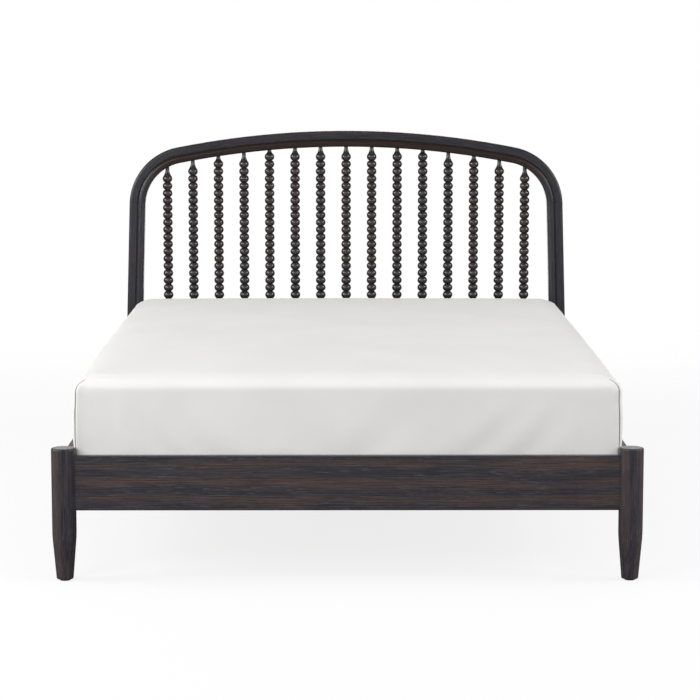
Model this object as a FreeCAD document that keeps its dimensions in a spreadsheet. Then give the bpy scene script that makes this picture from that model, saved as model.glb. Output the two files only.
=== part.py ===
import FreeCAD, Part
import math
import os
import Sketcher

# Platform bed with an arched bobbin-spindle headboard and a low footboard.
# Millimetres, +Z up, +Y towards the headboard. The origin is on the floor, at the middle of the footprint.

V = FreeCAD.Vector
doc = FreeCAD.newDocument("platform_bed")

# ---------------------------------------------------------------- dimensions
SIZES = [
    # footboard posts
    ("post_x", 786.5), ("post_y", -1033.2), ("post_rad", 33.8), ("post_top", 373),
    ("post_edge", 5), ("foot_rad", 23.6), ("foot_edge", 3), ("blend_low", 112),
    ("blend_low_rad", 32.5), ("blend_high", 144), ("blend_arc", 394.5),
    ("leg_bottom", 4),
    # rails
    ("rail_low", 198), ("rail_high", 351.5), ("foot_rail_thick", 22),
    ("side_rail_thick", 25), ("side_rail_x", 780), ("rail_edge", 2.5),
    ("housing", 10), ("seat_y", 26.5),
    # headboard hoop
    ("head_y", 1045), ("hoop_depth", 44), ("hoop_wide", 56.5), ("hoop_top", 1168.5),
    ("crest_arc", 3140), ("crest_half", 11.1825), ("corner_x", 567.66245),
    ("corner_z", 899.92619), ("corner_arc", 213), ("corner_turn", 76.974),
    ("splay", 1.843), ("mould_len", 400), ("hoop_round", 8), ("back_round", 3),
    ("band_wide", 27.5), ("quirk_deep", 5), ("quirk_foot", 31.3),
    ("ovolo_from", 31.5), ("ovolo_drop", 4.1), ("ovolo_arc", 17), ("ovolo_end", 8.6),
    # spindles
    ("spindle_pitch", 92), ("bead_pitch", 26.25), ("bead_rad", 17.8),
    ("bead_neck", 9.1), ("bead_low", 576.8), ("spindle_neck", 7), ("drop_up", 33), ("drop_down", 29),
    ("tenon_in", 18), ("hole_gap", 0.1),
    # headboard rails
    ("spindle_rail_low", 478), ("spindle_rail_high", 548), ("spindle_rail_thick", 30),
    ("base_rail_thick", 25),
    # dowels and screws
    ("dowel_rad", 5), ("dowel_len", 40), ("screw_rad", 1.9), ("screw_head", 3.9),
    ("screw_cone", 2.2), ("screw_len", 35), ("screw_gap", 0.05),
    ("pan_head", 3.6), ("pan_high", 2.2), ("pan_len", 14), ("drive_wide", 1.0),
    ("drive_long", 4.4), ("drive_deep", 1.4),
    # rail fittings
    ("plate_thick", 3), ("hook_wide", 16), ("receiver_wide", 20), ("plate_low", 212),
    ("plate_high", 340), ("hook_one", 240), ("hook_two", 295), ("hook_thick", 5),
    ("fit_screw_low", 219), ("fit_screw_high", 334),
    # slats and ledgers
    ("ledger_thick", 25), ("ledger_low", 250), ("slat_low", 290), ("slat_thick", 20),
    ("slat_wide", 100), ("slat_half", 764), ("slat_first", -955), ("slat_step", 173.636),
    ("ledger_from", -1000), ("ledger_to", 1015), ("ledger_screw_z", 262),
    ("ledger_screw_from", -900), ("ledger_screw_step", 300), ("slat_screw_x", 755),
    ("strap_x", 400), ("strap_wide", 30), ("strap_thick", 1.2),
    # centre support
    ("beam_wide", 30), ("beam_low", 230), ("hanger_thick", 2), ("hanger_reach", 42),
    ("hanger_half", 34), ("hanger_cheek", 270), ("hanger_gap", 0.2),
    ("leg_mid_y", 0), ("leg_rear_y", 520), ("leg_top_rad", 22), ("leg_foot_rad", 17),
    ("leg_foot", 30), ("bolt_rad", 4), ("bolt_half", 34),
    # levelling feet and glides
    ("stud_rad", 4), ("stud_low", 4), ("stud_high", 70), ("stud_gap", 0.05),
    ("hex_low", 10.3), ("hex_high", 16.3), ("hex_across", 13), ("pad_rad", 20),
    ("pad_high", 10), ("pad_edge", 3), ("pad_socket", 3.7), ("insert_rad", 6.5),
    ("insert_len", 15), ("flange_rad", 10), ("flange_thick", 1.5),
    ("glide_rad", 15), ("glide_edge", 1),
    # mattress and fitted sheet
    ("bed_low", 310.3), ("bed_high", 568), ("bed_half_x", 762), ("bed_half_y", 1016),
    ("bed_corner", 40), ("bed_edge", 38), ("sheet_thick", 1.2), ("sheet_gap", 0.2),
    ("sheet_hem", 90), ("pad_layer", 14),
]

sheet = doc.addObject("Spreadsheet::Sheet", "dims")
for row, (name, value) in enumerate(SIZES, start=1):
    sheet.set("A%d" % row, name)
    sheet.set("B%d" % row, str(value))
    sheet.setAlias("B%d" % row, name)
doc.recompute()


class Q:
    """A size: its number, and the formula on the sheet's cells that gives it."""

    def __init__(self, v, e=None):
        self.v = float(v)
        self.e = e if e is not None else repr(float(v))

    def _op(self, other, sign, v):
        return Q(v, "(%s %s %s)" % (self.e, sign, as_q(other).e))

    def __add__(self, o):
        return self._op(o, "+", self.v + as_q(o).v)

    def __radd__(self, o):
        return as_q(o) + self

    def __sub__(self, o):
        return self._op(o, "-", self.v - as_q(o).v)

    def __rsub__(self, o):
        return as_q(o) - self

    def __mul__(self, o):
        return self._op(o, "*", self.v * as_q(o).v)

    def __rmul__(self, o):
        return as_q(o) * self

    def __truediv__(self, o):
        return self._op(o, "/", self.v / as_q(o).v)

    def __neg__(self):
        return Q(-self.v, "(0 - %s)" % self.e)


def as_q(x):
    return x if isinstance(x, Q) else Q(x)


def q_sin(a):
    return Q(math.sin(math.radians(a.v)), "sin(%s)" % a.e)


def q_cos(a):
    return Q(math.cos(math.radians(a.v)), "cos(%s)" % a.e)


def q_tan(a):
    return Q(math.tan(math.radians(a.v)), "tan(%s)" % a.e)


def q_sqrt(a):
    return Q(math.sqrt(a.v), "sqrt(%s)" % a.e)


class D:
    """Every cell of the sheet, by its alias."""


for name, value in SIZES:
    setattr(D, name, Q(sheet.get(name), "dims.%s" % name))


def bind(obj, prop, q):
    q = as_q(q)
    if "." not in prop:
        setattr(obj, prop, q.v)
    if "dims" in q.e:
        obj.setExpression(prop, q.e)


def place(obj, x=0, y=0, z=0, axis=None, angle=None):
    x, y, z = as_q(x), as_q(y), as_q(z)
    rot = FreeCAD.Rotation()
    if axis is not None:
        rot = FreeCAD.Rotation(V(*axis), as_q(angle).v)
    obj.Placement = FreeCAD.Placement(V(x.v, y.v, z.v), rot)
    for key, q in (("x", x), ("y", y), ("z", z)):
        bind(obj, "Placement.Base." + key, q)
    if axis is not None and "dims" in as_q(angle).e:
        obj.setExpression("Placement.Rotation.Angle", as_q(angle).e)
    return obj


# ---------------------------------------------------------------- sketches
def plane(body, role):
    for f in body.Origin.OriginFeatures:
        if f.Role == role:
            return f
    raise ValueError(role)


def outline(body, role, steps, name):
    """A closed outline on one of the body's own planes. Each step is (x, y) or (x, y, radius, side):
    the corner, and for an arc the radius of the edge that leaves it and the side its centre is on."""
    sk = body.newObject("Sketcher::SketchObject", name)
    sk.AttachmentSupport = [(plane(body, role), "")]
    sk.MapMode = "FlatFace"
    pts = [(as_q(s[0]), as_q(s[1])) for s in steps]
    n = len(pts)
    for i, s in enumerate(steps):
        a = V(pts[i][0].v, pts[i][1].v, 0)
        b = V(pts[(i + 1) % n][0].v, pts[(i + 1) % n][1].v, 0)
        if len(s) == 2:
            sk.addGeometry(Part.LineSegment(a, b), False)
        else:
            r, side = as_q(s[2]).v, s[3]
            chord = b - a
            half = chord.Length / 2
            rise = math.sqrt(max(r * r - half * half, 0.0))
            left = V(-chord.y, chord.x, 0).normalize()
            centre = (a + b) * 0.5 + left * (rise * side)
            out = ((a + b) * 0.5 - centre)
            if out.Length < 1e-9:
                out = left * (-side)
            mid = centre + out.normalize() * r
            sk.addGeometry(Part.Arc(a, mid, b), False)
    cons, names = [], []
    arc_ends = []
    for i, s in enumerate(steps):
        if len(s) == 2:
            arc_ends.append((1, 2))
        else:
            # an arc's own start is its anticlockwise end, so the walk may run it backwards
            a = V(pts[i][0].v, pts[i][1].v, 0)
            arc_ends.append((1, 2) if (sk.getPoint(i, 1) - a).Length < 1e-6 else (2, 1))
    for i in range(n):
        j = (i + 1) % n
        cons.append(Sketcher.Constraint("Coincident", i, arc_ends[i][1], j, arc_ends[j][0]))
        names.append(None)
    for i in range(n):
        for k, kind in enumerate(("DistanceX", "DistanceY")):
            q = pts[i][k]
            cons.append(Sketcher.Constraint(kind, -1, 1, i, arc_ends[i][0], q.v))
            names.append(("p%d%s" % (i, "xy"[k]), q))
    for i, s in enumerate(steps):
        if len(s) > 2:
            cons.append(Sketcher.Constraint("Radius", i, as_q(s[2]).v))
            names.append(("r%d" % i, as_q(s[2])))
    sk.addConstraint(cons)
    for i, pair in enumerate(names):
        if pair and "dims" in pair[1].e:
            sk.renameConstraint(i, pair[0])
            sk.setExpression("Constraints." + pair[0], pair[1].e)
    return sk


def new_body(label):
    body = doc.addObject("PartDesign::Body", label + "_body")
    body.Label = label
    return body


def pad(body, sk, length, middle=False, back=False, name="Pad"):
    f = body.newObject("PartDesign::Pad", name)
    f.Profile = sk
    f.Refine = False
    if middle:
        f.SideType = "Symmetric"
    f.Reversed = back
    bind(f, "Length", length)
    return f


def turn(body, sk, role="Z_Axis", angle=360, middle=False, back=False, name="Turn"):
    f = body.newObject("PartDesign::Revolution", name)
    f.Profile = sk
    f.ReferenceAxis = (plane(body, role), [""])
    f.Refine = False
    f.Midplane = middle
    f.Reversed = back
    bind(f, "Angle", angle)
    return f


def edges_where(feature, test):
    return ["Edge%d" % (i + 1) for i, e in enumerate(feature.Shape.Edges) if test(e)]


def soften(body, base, test, radius, name="Soften"):
    doc.recompute()
    f = body.newObject("PartDesign::Fillet", name)
    f.Base = (base, edges_where(base, test))
    f.Refine = False
    bind(f, "Radius", radius)
    return f


def runs_along(axis):
    def test(e):
        a, b = e.Vertexes[0].Point, e.Vertexes[-1].Point
        d = b - a
        return e.Curve.TypeId == "Part::GeomLine" and d.Length > 1 and abs(abs(d.normalize().dot(V(*axis))) - 1) < 1e-6
    return test


def bar(label, wx, wy, wz, edge=None, along="x"):
    """A straight bar centred in X and Y on its own origin, from z = 0 up, its long edges eased."""
    body = new_body(label)
    sx, sy = as_q(wx) / 2, as_q(wy) / 2
    sk = outline(body, "XY_Plane", [(-sx, -sy), (sx, -sy), (sx, sy), (-sx, sy)], label + "_outline")
    last = pad(body, sk, wz, name=label + "_pad")
    if edge is not None:
        last = soften(body, last, runs_along({"x": (1, 0, 0), "y": (0, 1, 0), "z": (0, 0, 1)}[along]), edge, label + "_edges")
    body.Tip = last
    return body


# ---------------------------------------------------------------- primitives and booleans
def block(x0, x1, y0, y1, z0, z1):
    o = doc.addObject("Part::Box", "cutter")
    x0, x1, y0, y1, z0, z1 = [as_q(q) for q in (x0, x1, y0, y1, z0, z1)]
    bind(o, "Length", x1 - x0)
    bind(o, "Width", y1 - y0)
    bind(o, "Height", z1 - z0)
    return place(o, x0, y0, z0)


TURNS = {"+z": None, "-z": ((1, 0, 0), 180), "+x": ((0, 1, 0), 90), "-x": ((0, 1, 0), -90),
         "+y": ((1, 0, 0), -90), "-y": ((1, 0, 0), 90)}


def rod(radius, length, x, y, z, way="+z"):
    o = doc.addObject("Part::Cylinder", "cutter")
    bind(o, "Radius", radius)
    bind(o, "Height", length)
    if TURNS[way] is None:
        return place(o, x, y, z)
    return place(o, x, y, z, *TURNS[way])


def joined(shapes, label="joined"):
    if len(shapes) == 1:
        return shapes[0]
    o = doc.addObject("Part::MultiFuse", "joined")
    o.Shapes = shapes
    o.Refine = False
    o.Label = label
    return o


def less(label, base, tools):
    """The base with the tools cut away. The result takes the node's name."""
    base.Label = label + "_blank"
    o = doc.addObject("Part::Cut", label)
    o.Base = base
    o.Tool = joined(tools, label + "_cutters")
    o.Refine = False
    o.Label = label
    return o


def mirrored(label, source):
    o = doc.addObject("Part::Mirroring", label)
    o.Source = source
    o.Base = V(0, 0, 0)
    o.Normal = V(1, 0, 0)
    o.Label = label
    return o


NODES = []


def keep(*objs):
    NODES.extend(objs)
    return objs[0]


# ---------------------------------------------------------------- fasteners
def csk_screw(label, gap):
    """A countersunk wood screw: its head's flat at z = 0, its point down."""
    body = new_body(label)
    g = as_q(gap)
    head, cone, r, ln = D.screw_head + g, D.screw_cone + g, D.screw_rad + g, D.screw_len + g
    sk = outline(body, "XZ_Plane", [(0, 0 * g), (head, 0), (r, -cone), (r, -(ln - 5)), (0, -ln)], label + "_outline")
    body.Tip = turn(body, sk, name=label + "_turn")
    return body


def pan_screw(label, gap):
    """A pan-head screw: the head's underside at z = 0, its point down."""
    body = new_body(label)
    g = as_q(gap)
    r, ln = D.screw_rad + g, D.pan_len + g
    sk = outline(body, "XZ_Plane", [(0, -ln), (r, -(ln - 3)), (r, 0), (D.pan_head, 0), (D.pan_head, 1),
                                    (D.pan_head - 1.2, D.pan_high), (0, D.pan_high)], label + "_outline")
    body.Tip = turn(body, sk, name=label + "_turn")
    return body


def driven(label, base, top):
    """The screw with a cross recess in its head."""
    half, w = D.drive_long / 2, D.drive_wide / 2
    o = doc.addObject("Part::Cut", label)
    o.Base = base
    o.Tool = joined([block(-half, half, -w, w, as_q(top) - D.drive_deep, as_q(top) + 2),
                     block(-w, w, -half, half, as_q(top) - D.drive_deep, as_q(top) + 2)], label + "_recess")
    o.Refine = False
    return o


screw = driven("driven_wood_screw", csk_screw("wood_screw", 0), 0)
screw_hole = csk_screw("wood_screw_hole", D.screw_gap)
pan = driven("driven_hanger_screw", pan_screw("hanger_screw", 0), D.pan_high)
pan_hole = pan_screw("hanger_screw_hole", D.screw_gap)
dowel = new_body("dowel")
dowel.Tip = turn(dowel, outline(dowel, "XZ_Plane", [
    (0, -D.dowel_len / 2), (D.dowel_rad - 1, -D.dowel_len / 2), (D.dowel_rad, -D.dowel_len / 2 + 1),
    (D.dowel_rad, D.dowel_len / 2 - 1), (D.dowel_rad - 1, D.dowel_len / 2), (0, D.dowel_len / 2)], "dowel_outline"), name="dowel_turn")
dowel_hole = new_body("dowel_hole")
dowel_hole.Tip = turn(dowel_hole, outline(dowel_hole, "XZ_Plane", [
    (0, -D.dowel_len / 2 - 0.5), (D.dowel_rad + D.screw_gap, -D.dowel_len / 2 - 0.5),
    (D.dowel_rad + D.screw_gap, D.dowel_len / 2 + 0.5), (0, D.dowel_len / 2 + 0.5)], "dowel_hole_outline"), name="dowel_hole_turn")
doc.recompute()

# the way a fastener's point faces
POINTS = {"-z": FreeCAD.Rotation(), "+x": FreeCAD.Rotation(V(0, 1, 0), -90), "-x": FreeCAD.Rotation(V(0, 1, 0), 90),
          "+y": FreeCAD.Rotation(V(1, 0, 0), 90), "-y": FreeCAD.Rotation(V(1, 0, 0), -90)}


def group(label, source, spots):
    """Equal pieces at the given places, as one group of separate solids."""
    o = doc.addObject("Part::Feature", label)
    o.Label = label
    out = []
    for pos, rot in spots:
        s = source.Shape.copy()
        s.Placement = FreeCAD.Placement(pos, rot)
        out.append(s)
    o.Shape = Part.makeCompound(out)
    o.Placement = FreeCAD.Placement()
    return o


def both_sides(spots):
    """The same spots on the other side of the middle plane."""
    m = []
    for pos, way in spots:
        flip = {"+x": "-x", "-x": "+x"}.get(way, way)
        m.append((V(-pos.x, pos.y, pos.z), flip))
    return spots + m


def turned(spots):
    return [(p, POINTS[w]) for p, w in spots]


# ---------------------------------------------------------------- headboard hoop
def section(radius_out, x_is_radial, plain=False):
    """The hoop's section, from the outer edge in: an eased edge, a flat band, a quirk and an ovolo.
    The plain one, for the legs, runs flat to a square inner corner."""
    half = D.hoop_depth / 2
    w = D.hoop_wide
    r, b = D.hoop_round, D.back_round
    face = [(w, 0)] if plain else [
        (D.band_wide, 0), (D.band_wide + 0.5, D.quirk_deep), (D.quirk_foot, D.quirk_deep),
        (D.ovolo_from, D.ovolo_drop, D.ovolo_arc, 1), (w, D.ovolo_end)]
    pts = [(0, r, r, 1), (r, 0)] + face + [
        (w, D.hoop_depth - b, b, 1), (w - b, D.hoop_depth), (r, D.hoop_depth, r, 1), (0, D.hoop_depth - r)]
    out = []
    for p in pts:
        radial, deep = radius_out - p[0], as_q(p[1]) - half
        if x_is_radial:
            q = (radial, deep) + ((p[2], -p[3]) if len(p) > 2 else ())
        else:
            q = (deep, radial) + ((p[2], p[3]) if len(p) > 2 else ())
        out.append(q)
    return out


crest_zero = D.hoop_top - D.crest_arc
crest = new_body("headboard_crest_rail")
crest.Tip = turn(crest, outline(crest, "YZ_Plane", section(D.crest_arc, False), "crest_section"), "Y_Axis",
                 D.crest_half * 2, middle=True, name="crest_turn")
place(crest, 0, D.head_y, crest_zero)

corner = new_body("headboard_right_corner")
corner.Tip = turn(corner, outline(corner, "XY_Plane", section(D.corner_arc, True), "corner_section"), "Y_Axis",
                  D.corner_turn, back=True, name="corner_turn")
place(corner, D.corner_x, D.head_y, D.corner_z, (0, -1, 0), D.splay)

upright = new_body("headboard_right_post")
top_part = pad(upright, outline(upright, "XY_Plane", section(D.corner_arc, True), "post_section"), D.mould_len, back=True, name="post_moulded")


inner_r = D.corner_arc - D.hoop_wide
leg_sk = outline(upright, "XY_Plane", section(D.corner_arc, True, plain=True), "post_leg_section")
leg_sk.AttachmentOffset = FreeCAD.Placement(V(0, 0, -D.mould_len.v), FreeCAD.Rotation())
leg_sk.setExpression("AttachmentOffset.Base.z", (-D.mould_len).e)
upright.Tip = pad(upright, leg_sk, D.corner_z + 20 - D.mould_len, back=True, name="post_leg")
place(upright, D.corner_x, D.head_y, D.corner_z, (0, -1, 0), D.splay)
doc.recompute()


# where the hoop's inner edge runs
def post_inner_x(z):
    """The post's inner face at a height."""
    c, s_ = q_cos(D.splay), q_sin(D.splay)
    return D.corner_x + (inner_r - (as_q(z) - D.corner_z) * s_) / c


def hoop_inner_z(x):
    x = as_q(x)
    if abs(x.v) < 600:
        r = D.crest_arc - D.hoop_wide
        return crest_zero + q_sqrt(r * r - x * x)
    d = x - D.corner_x
    return D.corner_z + q_sqrt(inner_r * inner_r - d * d)


# ---------------------------------------------------------------- spindles
LAST_BEAD = [16, 17, 18, 18, 19, 19, 19, 19]  # from the outermost pair to the middle


def s_curve(h, fall):
    """Two tangent arcs that fall by `fall` over a height h: their radii's sum."""
    return (h * h + fall * fall) / (2 * fall)


def spindle(label, i):
    """A string of equal beads, with a teardrop at each end that falls to a thin neck."""
    x = (7 - i) * D.spindle_pitch
    n = LAST_BEAD[i]
    p, R, rn, rt = D.bead_pitch, D.bead_rad, D.bead_neck, D.spindle_neck
    ball = s_curve(p / 2, R - rn)            # the arc from one groove over the bead to the next
    top = n * p
    seat = hoop_inner_z(x) - D.bead_low
    t_up = D.drop_up if seat.v - top.v - 2 > D.drop_up.v else seat - top - 2
    t_dn = D.drop_down
    low = D.spindle_rail_high - D.bead_low - D.tenon_in
    high = seat + D.tenon_in
    fall = R - rt
    su, sd = s_curve(t_up, fall), s_curve(t_dn, fall)
    ku, kd = [ball / s_ if (ball / s_).v < 0.6 else Q(0.6) for s_ in (su, sd)]
    body = new_body(label)
    # where a teardrop's own arc has the beads' radius, the two run on as one
    first = [] if (ball / sd).v < 0.6 else [(R, 0, ball, 1)]
    last = [] if (ball / su).v < 0.6 else [(R, top, su * ku, 1)]
    core = outline(body, "XZ_Plane", [
        (0, low), (rt, low),
        (rt, -t_dn, sd * (1 - kd), -1), (R - fall * kd, -t_dn * kd, sd * kd, 1)] + first + [
        (rn, p / 2), (rn - 1.5, p / 2), (rn - 1.5, top - p / 2),
        (rn, top - p / 2, ball, 1)] + last + [(R - fall * ku, top + t_up * ku, su * (1 - ku), -1), (rt, top + t_up),
        (rt, high), (0, high)], label + "_ends")
    turn(body, core, name=label + "_core")
    bead = outline(body, "XZ_Plane", [(0, p / 2), (rn, p / 2, ball, 1), (rn, p * 1.5), (0, p * 1.5)], label + "_bead_outline")
    one = turn(body, bead, name=label + "_bead")
    row = body.newObject("PartDesign::LinearPattern", label + "_beads")
    row.Originals = [one]
    row.Direction = (plane(body, "Z_Axis"), [""])
    row.Refine = False
    row.Occurrences = n - 1
    bind(row, "Length", (n - 2) * p)
    body.Tip = row
    place(body, x, D.head_y, D.bead_low)
    return body


half_row = [spindle("spindle_%02d" % (15 - i), i) for i in range(8)]
doc.recompute()
left_row = [mirrored("spindle_%02d" % (i + 1), half_row[i]) for i in range(7)]
keep(*left_row)
keep(*reversed(half_row))

neck_hole = D.spindle_neck + D.hole_gap


def spindle_hole(i, side):
    x = side * (7 - i) * D.spindle_pitch
    z = hoop_inner_z((7 - i) * D.spindle_pitch)
    return rod(neck_hole, D.tenon_in + 20.5, x, D.head_y, z - 20)


# ---------------------------------------------------------------- dowels
DOWELS = []   # (place, rotation)


def dowel_at(x, y, z, rot):
    DOWELS.append((V(x, y, z), rot))


def cut_spots(spots, source, label):
    return group(label, source, spots)


# hoop joints: two dowels each, along the hoop
joint_post, joint_crest = [], []
for u in (16, 40):
    for ang, bag in ((D.splay.v, joint_post), (90 - D.crest_half.v, joint_crest)):
        a = math.radians(ang)
        r = D.corner_arc.v - u
        pos = V(D.corner_x.v + r * math.cos(a), D.head_y.v, D.corner_z.v + r * math.sin(a))
        bag.append((pos, FreeCAD.Rotation(V(0, 1, 0), -ang)))
# rails into the posts: two dowels at each end
rail_right = []
for z in (240, 312, 495, 531):
    rail_right.append((V(post_inner_x(z).v, D.head_y.v, z), FreeCAD.Rotation(V(0, 1, 0), 90)))
# footboard rail into its posts
foot_right = []
for z in (235, 316):
    foot_right.append((V((D.post_x - D.housing - 12).v, D.post_y.v, z), FreeCAD.Rotation(V(0, 1, 0), 90)))


def flipped(spots):
    """The spots' mirror image. A dowel is alike end for end, so its turn about Y is only reversed."""
    out = []
    for pos, rot in spots:
        ang = rot.Angle * (1 if rot.Axis.y > 0 else -1)
        out.append((V(-pos.x, pos.y, pos.z), FreeCAD.Rotation(V(0, 1, 0), math.degrees(-ang))))
    return out


right_dowels = joint_post + joint_crest + rail_right + foot_right
keep(group("joint_dowels", dowel, right_dowels + flipped(right_dowels)))

# ---------------------------------------------------------------- screw places
side_face_y = D.post_y + D.seat_y              # where a side rail's front end meets its post
side_back_y = D.head_y - D.hoop_depth / 2      # and where its back end meets the headboard
ledger_x = D.side_rail_x - D.side_rail_thick / 2 - D.ledger_thick

slat_y = [D.slat_first + k * D.slat_step for k in range(12)]
receiver_screws = [(V(D.side_rail_x.v, side_face_y.v, z), "-y") for z in (D.fit_screw_low.v, D.fit_screw_high.v)]
receiver_back = [(V(D.side_rail_x.v, side_back_y.v, z), "+y") for z in (D.fit_screw_low.v, D.fit_screw_high.v)]
hook_screws = [(V(D.side_rail_x.v, side_face_y.v, z), "+y") for z in (D.fit_screw_low.v + 8, D.fit_screw_high.v - 5)]
hook_back = [(V(D.side_rail_x.v, side_back_y.v, z), "-y") for z in (D.fit_screw_low.v + 8, D.fit_screw_high.v - 5)]
ledger_screws = [(V(ledger_x.v, (D.ledger_screw_from + k * D.ledger_screw_step).v, D.ledger_screw_z.v), "+x") for k in range(7)]
slat_screws = [(V(D.slat_screw_x.v, y.v, (D.slat_low + D.slat_thick).v), "-z") for y in slat_y]
right_screws = receiver_screws + receiver_back + hook_screws + hook_back + ledger_screws + slat_screws
keep(group("wood_screws", screw, turned(both_sides(right_screws))))


def holes(spots, label):
    return group(label, screw_hole, turned(spots))


# ---------------------------------------------------------------- hoop pieces with their holes
keep(less("headboard_crest_rail", crest,
          [spindle_hole(7, 1)] + [spindle_hole(i, s_) for i in range(1, 7) for s_ in (1, -1)]
          + [cut_spots(joint_crest + flipped(joint_crest), dowel_hole, "crest_dowel_holes")]))
right_corner = keep(less("headboard_right_corner", corner,
                         [spindle_hole(0, 1), cut_spots(joint_crest + joint_post, dowel_hole, "corner_dowel_holes")]))
keep(mirrored("headboard_left_corner", right_corner))

hook_zs = (D.hook_one, D.hook_two)


def receiver_cutters(face, out):
    """The recess for a receiver plate in a post, and the two pockets behind its slots. out is +1 or -1 along Y."""
    def span(a, b):
        return (face + a, face + b) if out > 0 else (face - b, face - a)
    x = D.side_rail_x
    y0, y1 = span(0, D.plate_thick)
    tools = [block(x - D.receiver_wide / 2 - 0.1, x + D.receiver_wide / 2 + 0.1, y0 - (5 if out > 0 else 0), y1 + (5 if out < 0 else 0),
                   D.plate_low - 0.1, D.plate_high + 0.1)]
    for z in hook_zs:
        y0, y1 = span(D.plate_thick - 0.5, 10)
        tools.append(block(x - 4.5, x + 4.5, y0, y1, z - 14, z + 34))
    return tools


right_post_head = keep(less("headboard_right_post", upright,
                            receiver_cutters(side_back_y, 1)
                            + [block(D.post_x - 200, D.post_x + 100, D.head_y - 40, D.head_y + 40, -60, D.leg_bottom),
                               holes(receiver_back, "post_screw_holes"),
                               cut_spots(joint_post + rail_right, dowel_hole, "post_dowel_holes")]))
keep(mirrored("headboard_left_post", right_post_head))


# ---------------------------------------------------------------- headboard rails
def head_rail(label, low, high, thick):
    body = new_body(label)
    top, bottom = post_inner_x(high), post_inner_x(low)
    sk = outline(body, "XZ_Plane", [(-bottom, low), (bottom, low), (top, high), (-top, high)], label + "_outline")
    last = pad(body, sk, thick, middle=True, name=label + "_pad")
    last = soften(body, last, runs_along((1, 0, 0)), D.rail_edge, label + "_edges")
    body.Tip = last
    return place(body, 0, D.head_y, 0)


spindle_rail = head_rail("headboard_spindle_rail", D.spindle_rail_low, D.spindle_rail_high, D.spindle_rail_thick)
base_rail = head_rail("headboard_base_rail", D.rail_low, D.rail_high, D.base_rail_thick)
seats = [rod(neck_hole, D.tenon_in + 5.5, (7 - i) * D.spindle_pitch, D.head_y, D.spindle_rail_high - D.tenon_in - 0.5) for i in range(15)]
upper = rail_right[2:] + flipped(rail_right[2:])
lower = rail_right[:2] + flipped(rail_right[:2])
keep(less("headboard_spindle_rail", spindle_rail, seats + [cut_spots(upper, dowel_hole, "spindle_rail_dowel_holes")]))

# ---------------------------------------------------------------- footboard
post = new_body("footboard_right_post")
post.Tip = turn(post, outline(post, "XZ_Plane", [
    (0, D.leg_bottom), (D.foot_rad - D.foot_edge, D.leg_bottom, D.foot_edge, 1), (D.foot_rad, D.leg_bottom + D.foot_edge),
    (D.blend_low_rad, D.blend_low, D.blend_arc, 1), (D.post_rad, D.blend_high), (D.post_rad, D.post_top - D.post_edge, D.post_edge, 1),
    (D.post_rad - D.post_edge, D.post_top), (0, D.post_top)], "post_outline"), name="post_turn")
place(post, D.post_x, D.post_y, 0)
doc.recompute()
half_rail = D.foot_rail_thick / 2
housing_x = D.post_x - D.post_rad + D.housing
post_cuts = [
    block(D.post_x - D.post_rad - 5, housing_x + 0.1, D.post_y - half_rail - 0.1, D.post_y + half_rail + 0.1, D.rail_low - 0.1, D.rail_high + 0.1),
    block(D.post_x - D.post_rad - 5, D.post_x + D.post_rad + 5, side_face_y, D.post_y + D.post_rad + 5, D.rail_low - 0.2, D.rail_high + 0.2),
]
right_post_foot = keep(less("footboard_right_post", post, post_cuts + receiver_cutters(side_face_y, -1) + [
    holes(receiver_screws, "foot_post_screw_holes"), cut_spots(foot_right, dowel_hole, "foot_post_dowel_holes")]))
keep(mirrored("footboard_left_post", right_post_foot))

foot_rail = bar("footboard_rail", housing_x * 2, D.foot_rail_thick, D.rail_high - D.rail_low, D.rail_edge, "x")
place(foot_rail, 0, D.post_y, D.rail_low)

# ---------------------------------------------------------------- centre beam hangers
foot_inner = D.post_y + half_rail
head_inner = D.head_y - D.base_rail_thick / 2
hanger_spots = [(sx * 26, z) for sx in (1, -1) for z in (240, 278)]
pans = [(V(x, (foot_inner + D.hanger_thick).v, z), "-y") for x, z in hanger_spots] \
    + [(V(x, (head_inner - D.hanger_thick).v, z), "+y") for x, z in hanger_spots]
keep(group("hanger_screws", pan, turned(pans)))
pan_holes_foot = group("foot_rail_screw_holes", pan_hole, turned(pans[:4]))
pan_holes_head = group("base_rail_screw_holes", pan_hole, turned(pans[4:]))
keep(less("footboard_rail", foot_rail, [cut_spots(foot_right + flipped(foot_right), dowel_hole, "foot_rail_dowel_holes"), pan_holes_foot]))
keep(less("headboard_base_rail", base_rail, [cut_spots(lower, dowel_hole, "base_rail_dowel_holes"), pan_holes_head]))

beam_half = D.beam_wide / 2


def hanger(face, out):
    """A folded saddle: a back plate, a shelf under the beam and a cheek each side of it."""
    def span(a, b):
        return (face + a, face + b) if out > 0 else (face - b, face - a)
    tk, g = D.hanger_thick, D.hanger_gap
    low = D.beam_low - tk
    y0, y1 = span(as_q(0), tk)
    s0, s1 = span(as_q(0), D.hanger_reach)
    outer = beam_half + g + tk
    parts = [block(-D.hanger_half, D.hanger_half, y0, y1, low, D.slat_low - 2),
             block(-outer, outer, s0, s1, low, D.beam_low),
             block(beam_half + g, outer, s0, s1, low, D.hanger_cheek),
             block(-outer, -(beam_half + g), s0, s1, low, D.hanger_cheek)]
    holes_ = [rod(D.screw_rad + 0.2, 20, x, y0 - 8, z, "+y") for x, z in hanger_spots]
    o = doc.addObject("Part::Cut", "hanger")
    o.Base = joined(parts, "hanger_blank")
    o.Tool = joined(holes_, "hanger_holes")
    return o


hangers = doc.addObject("Part::Compound", "beam_hangers")
hangers.Links = [hanger(foot_inner, 1), hanger(head_inner, -1)]
hangers.Label = "beam_hangers"
keep(hangers)

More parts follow.
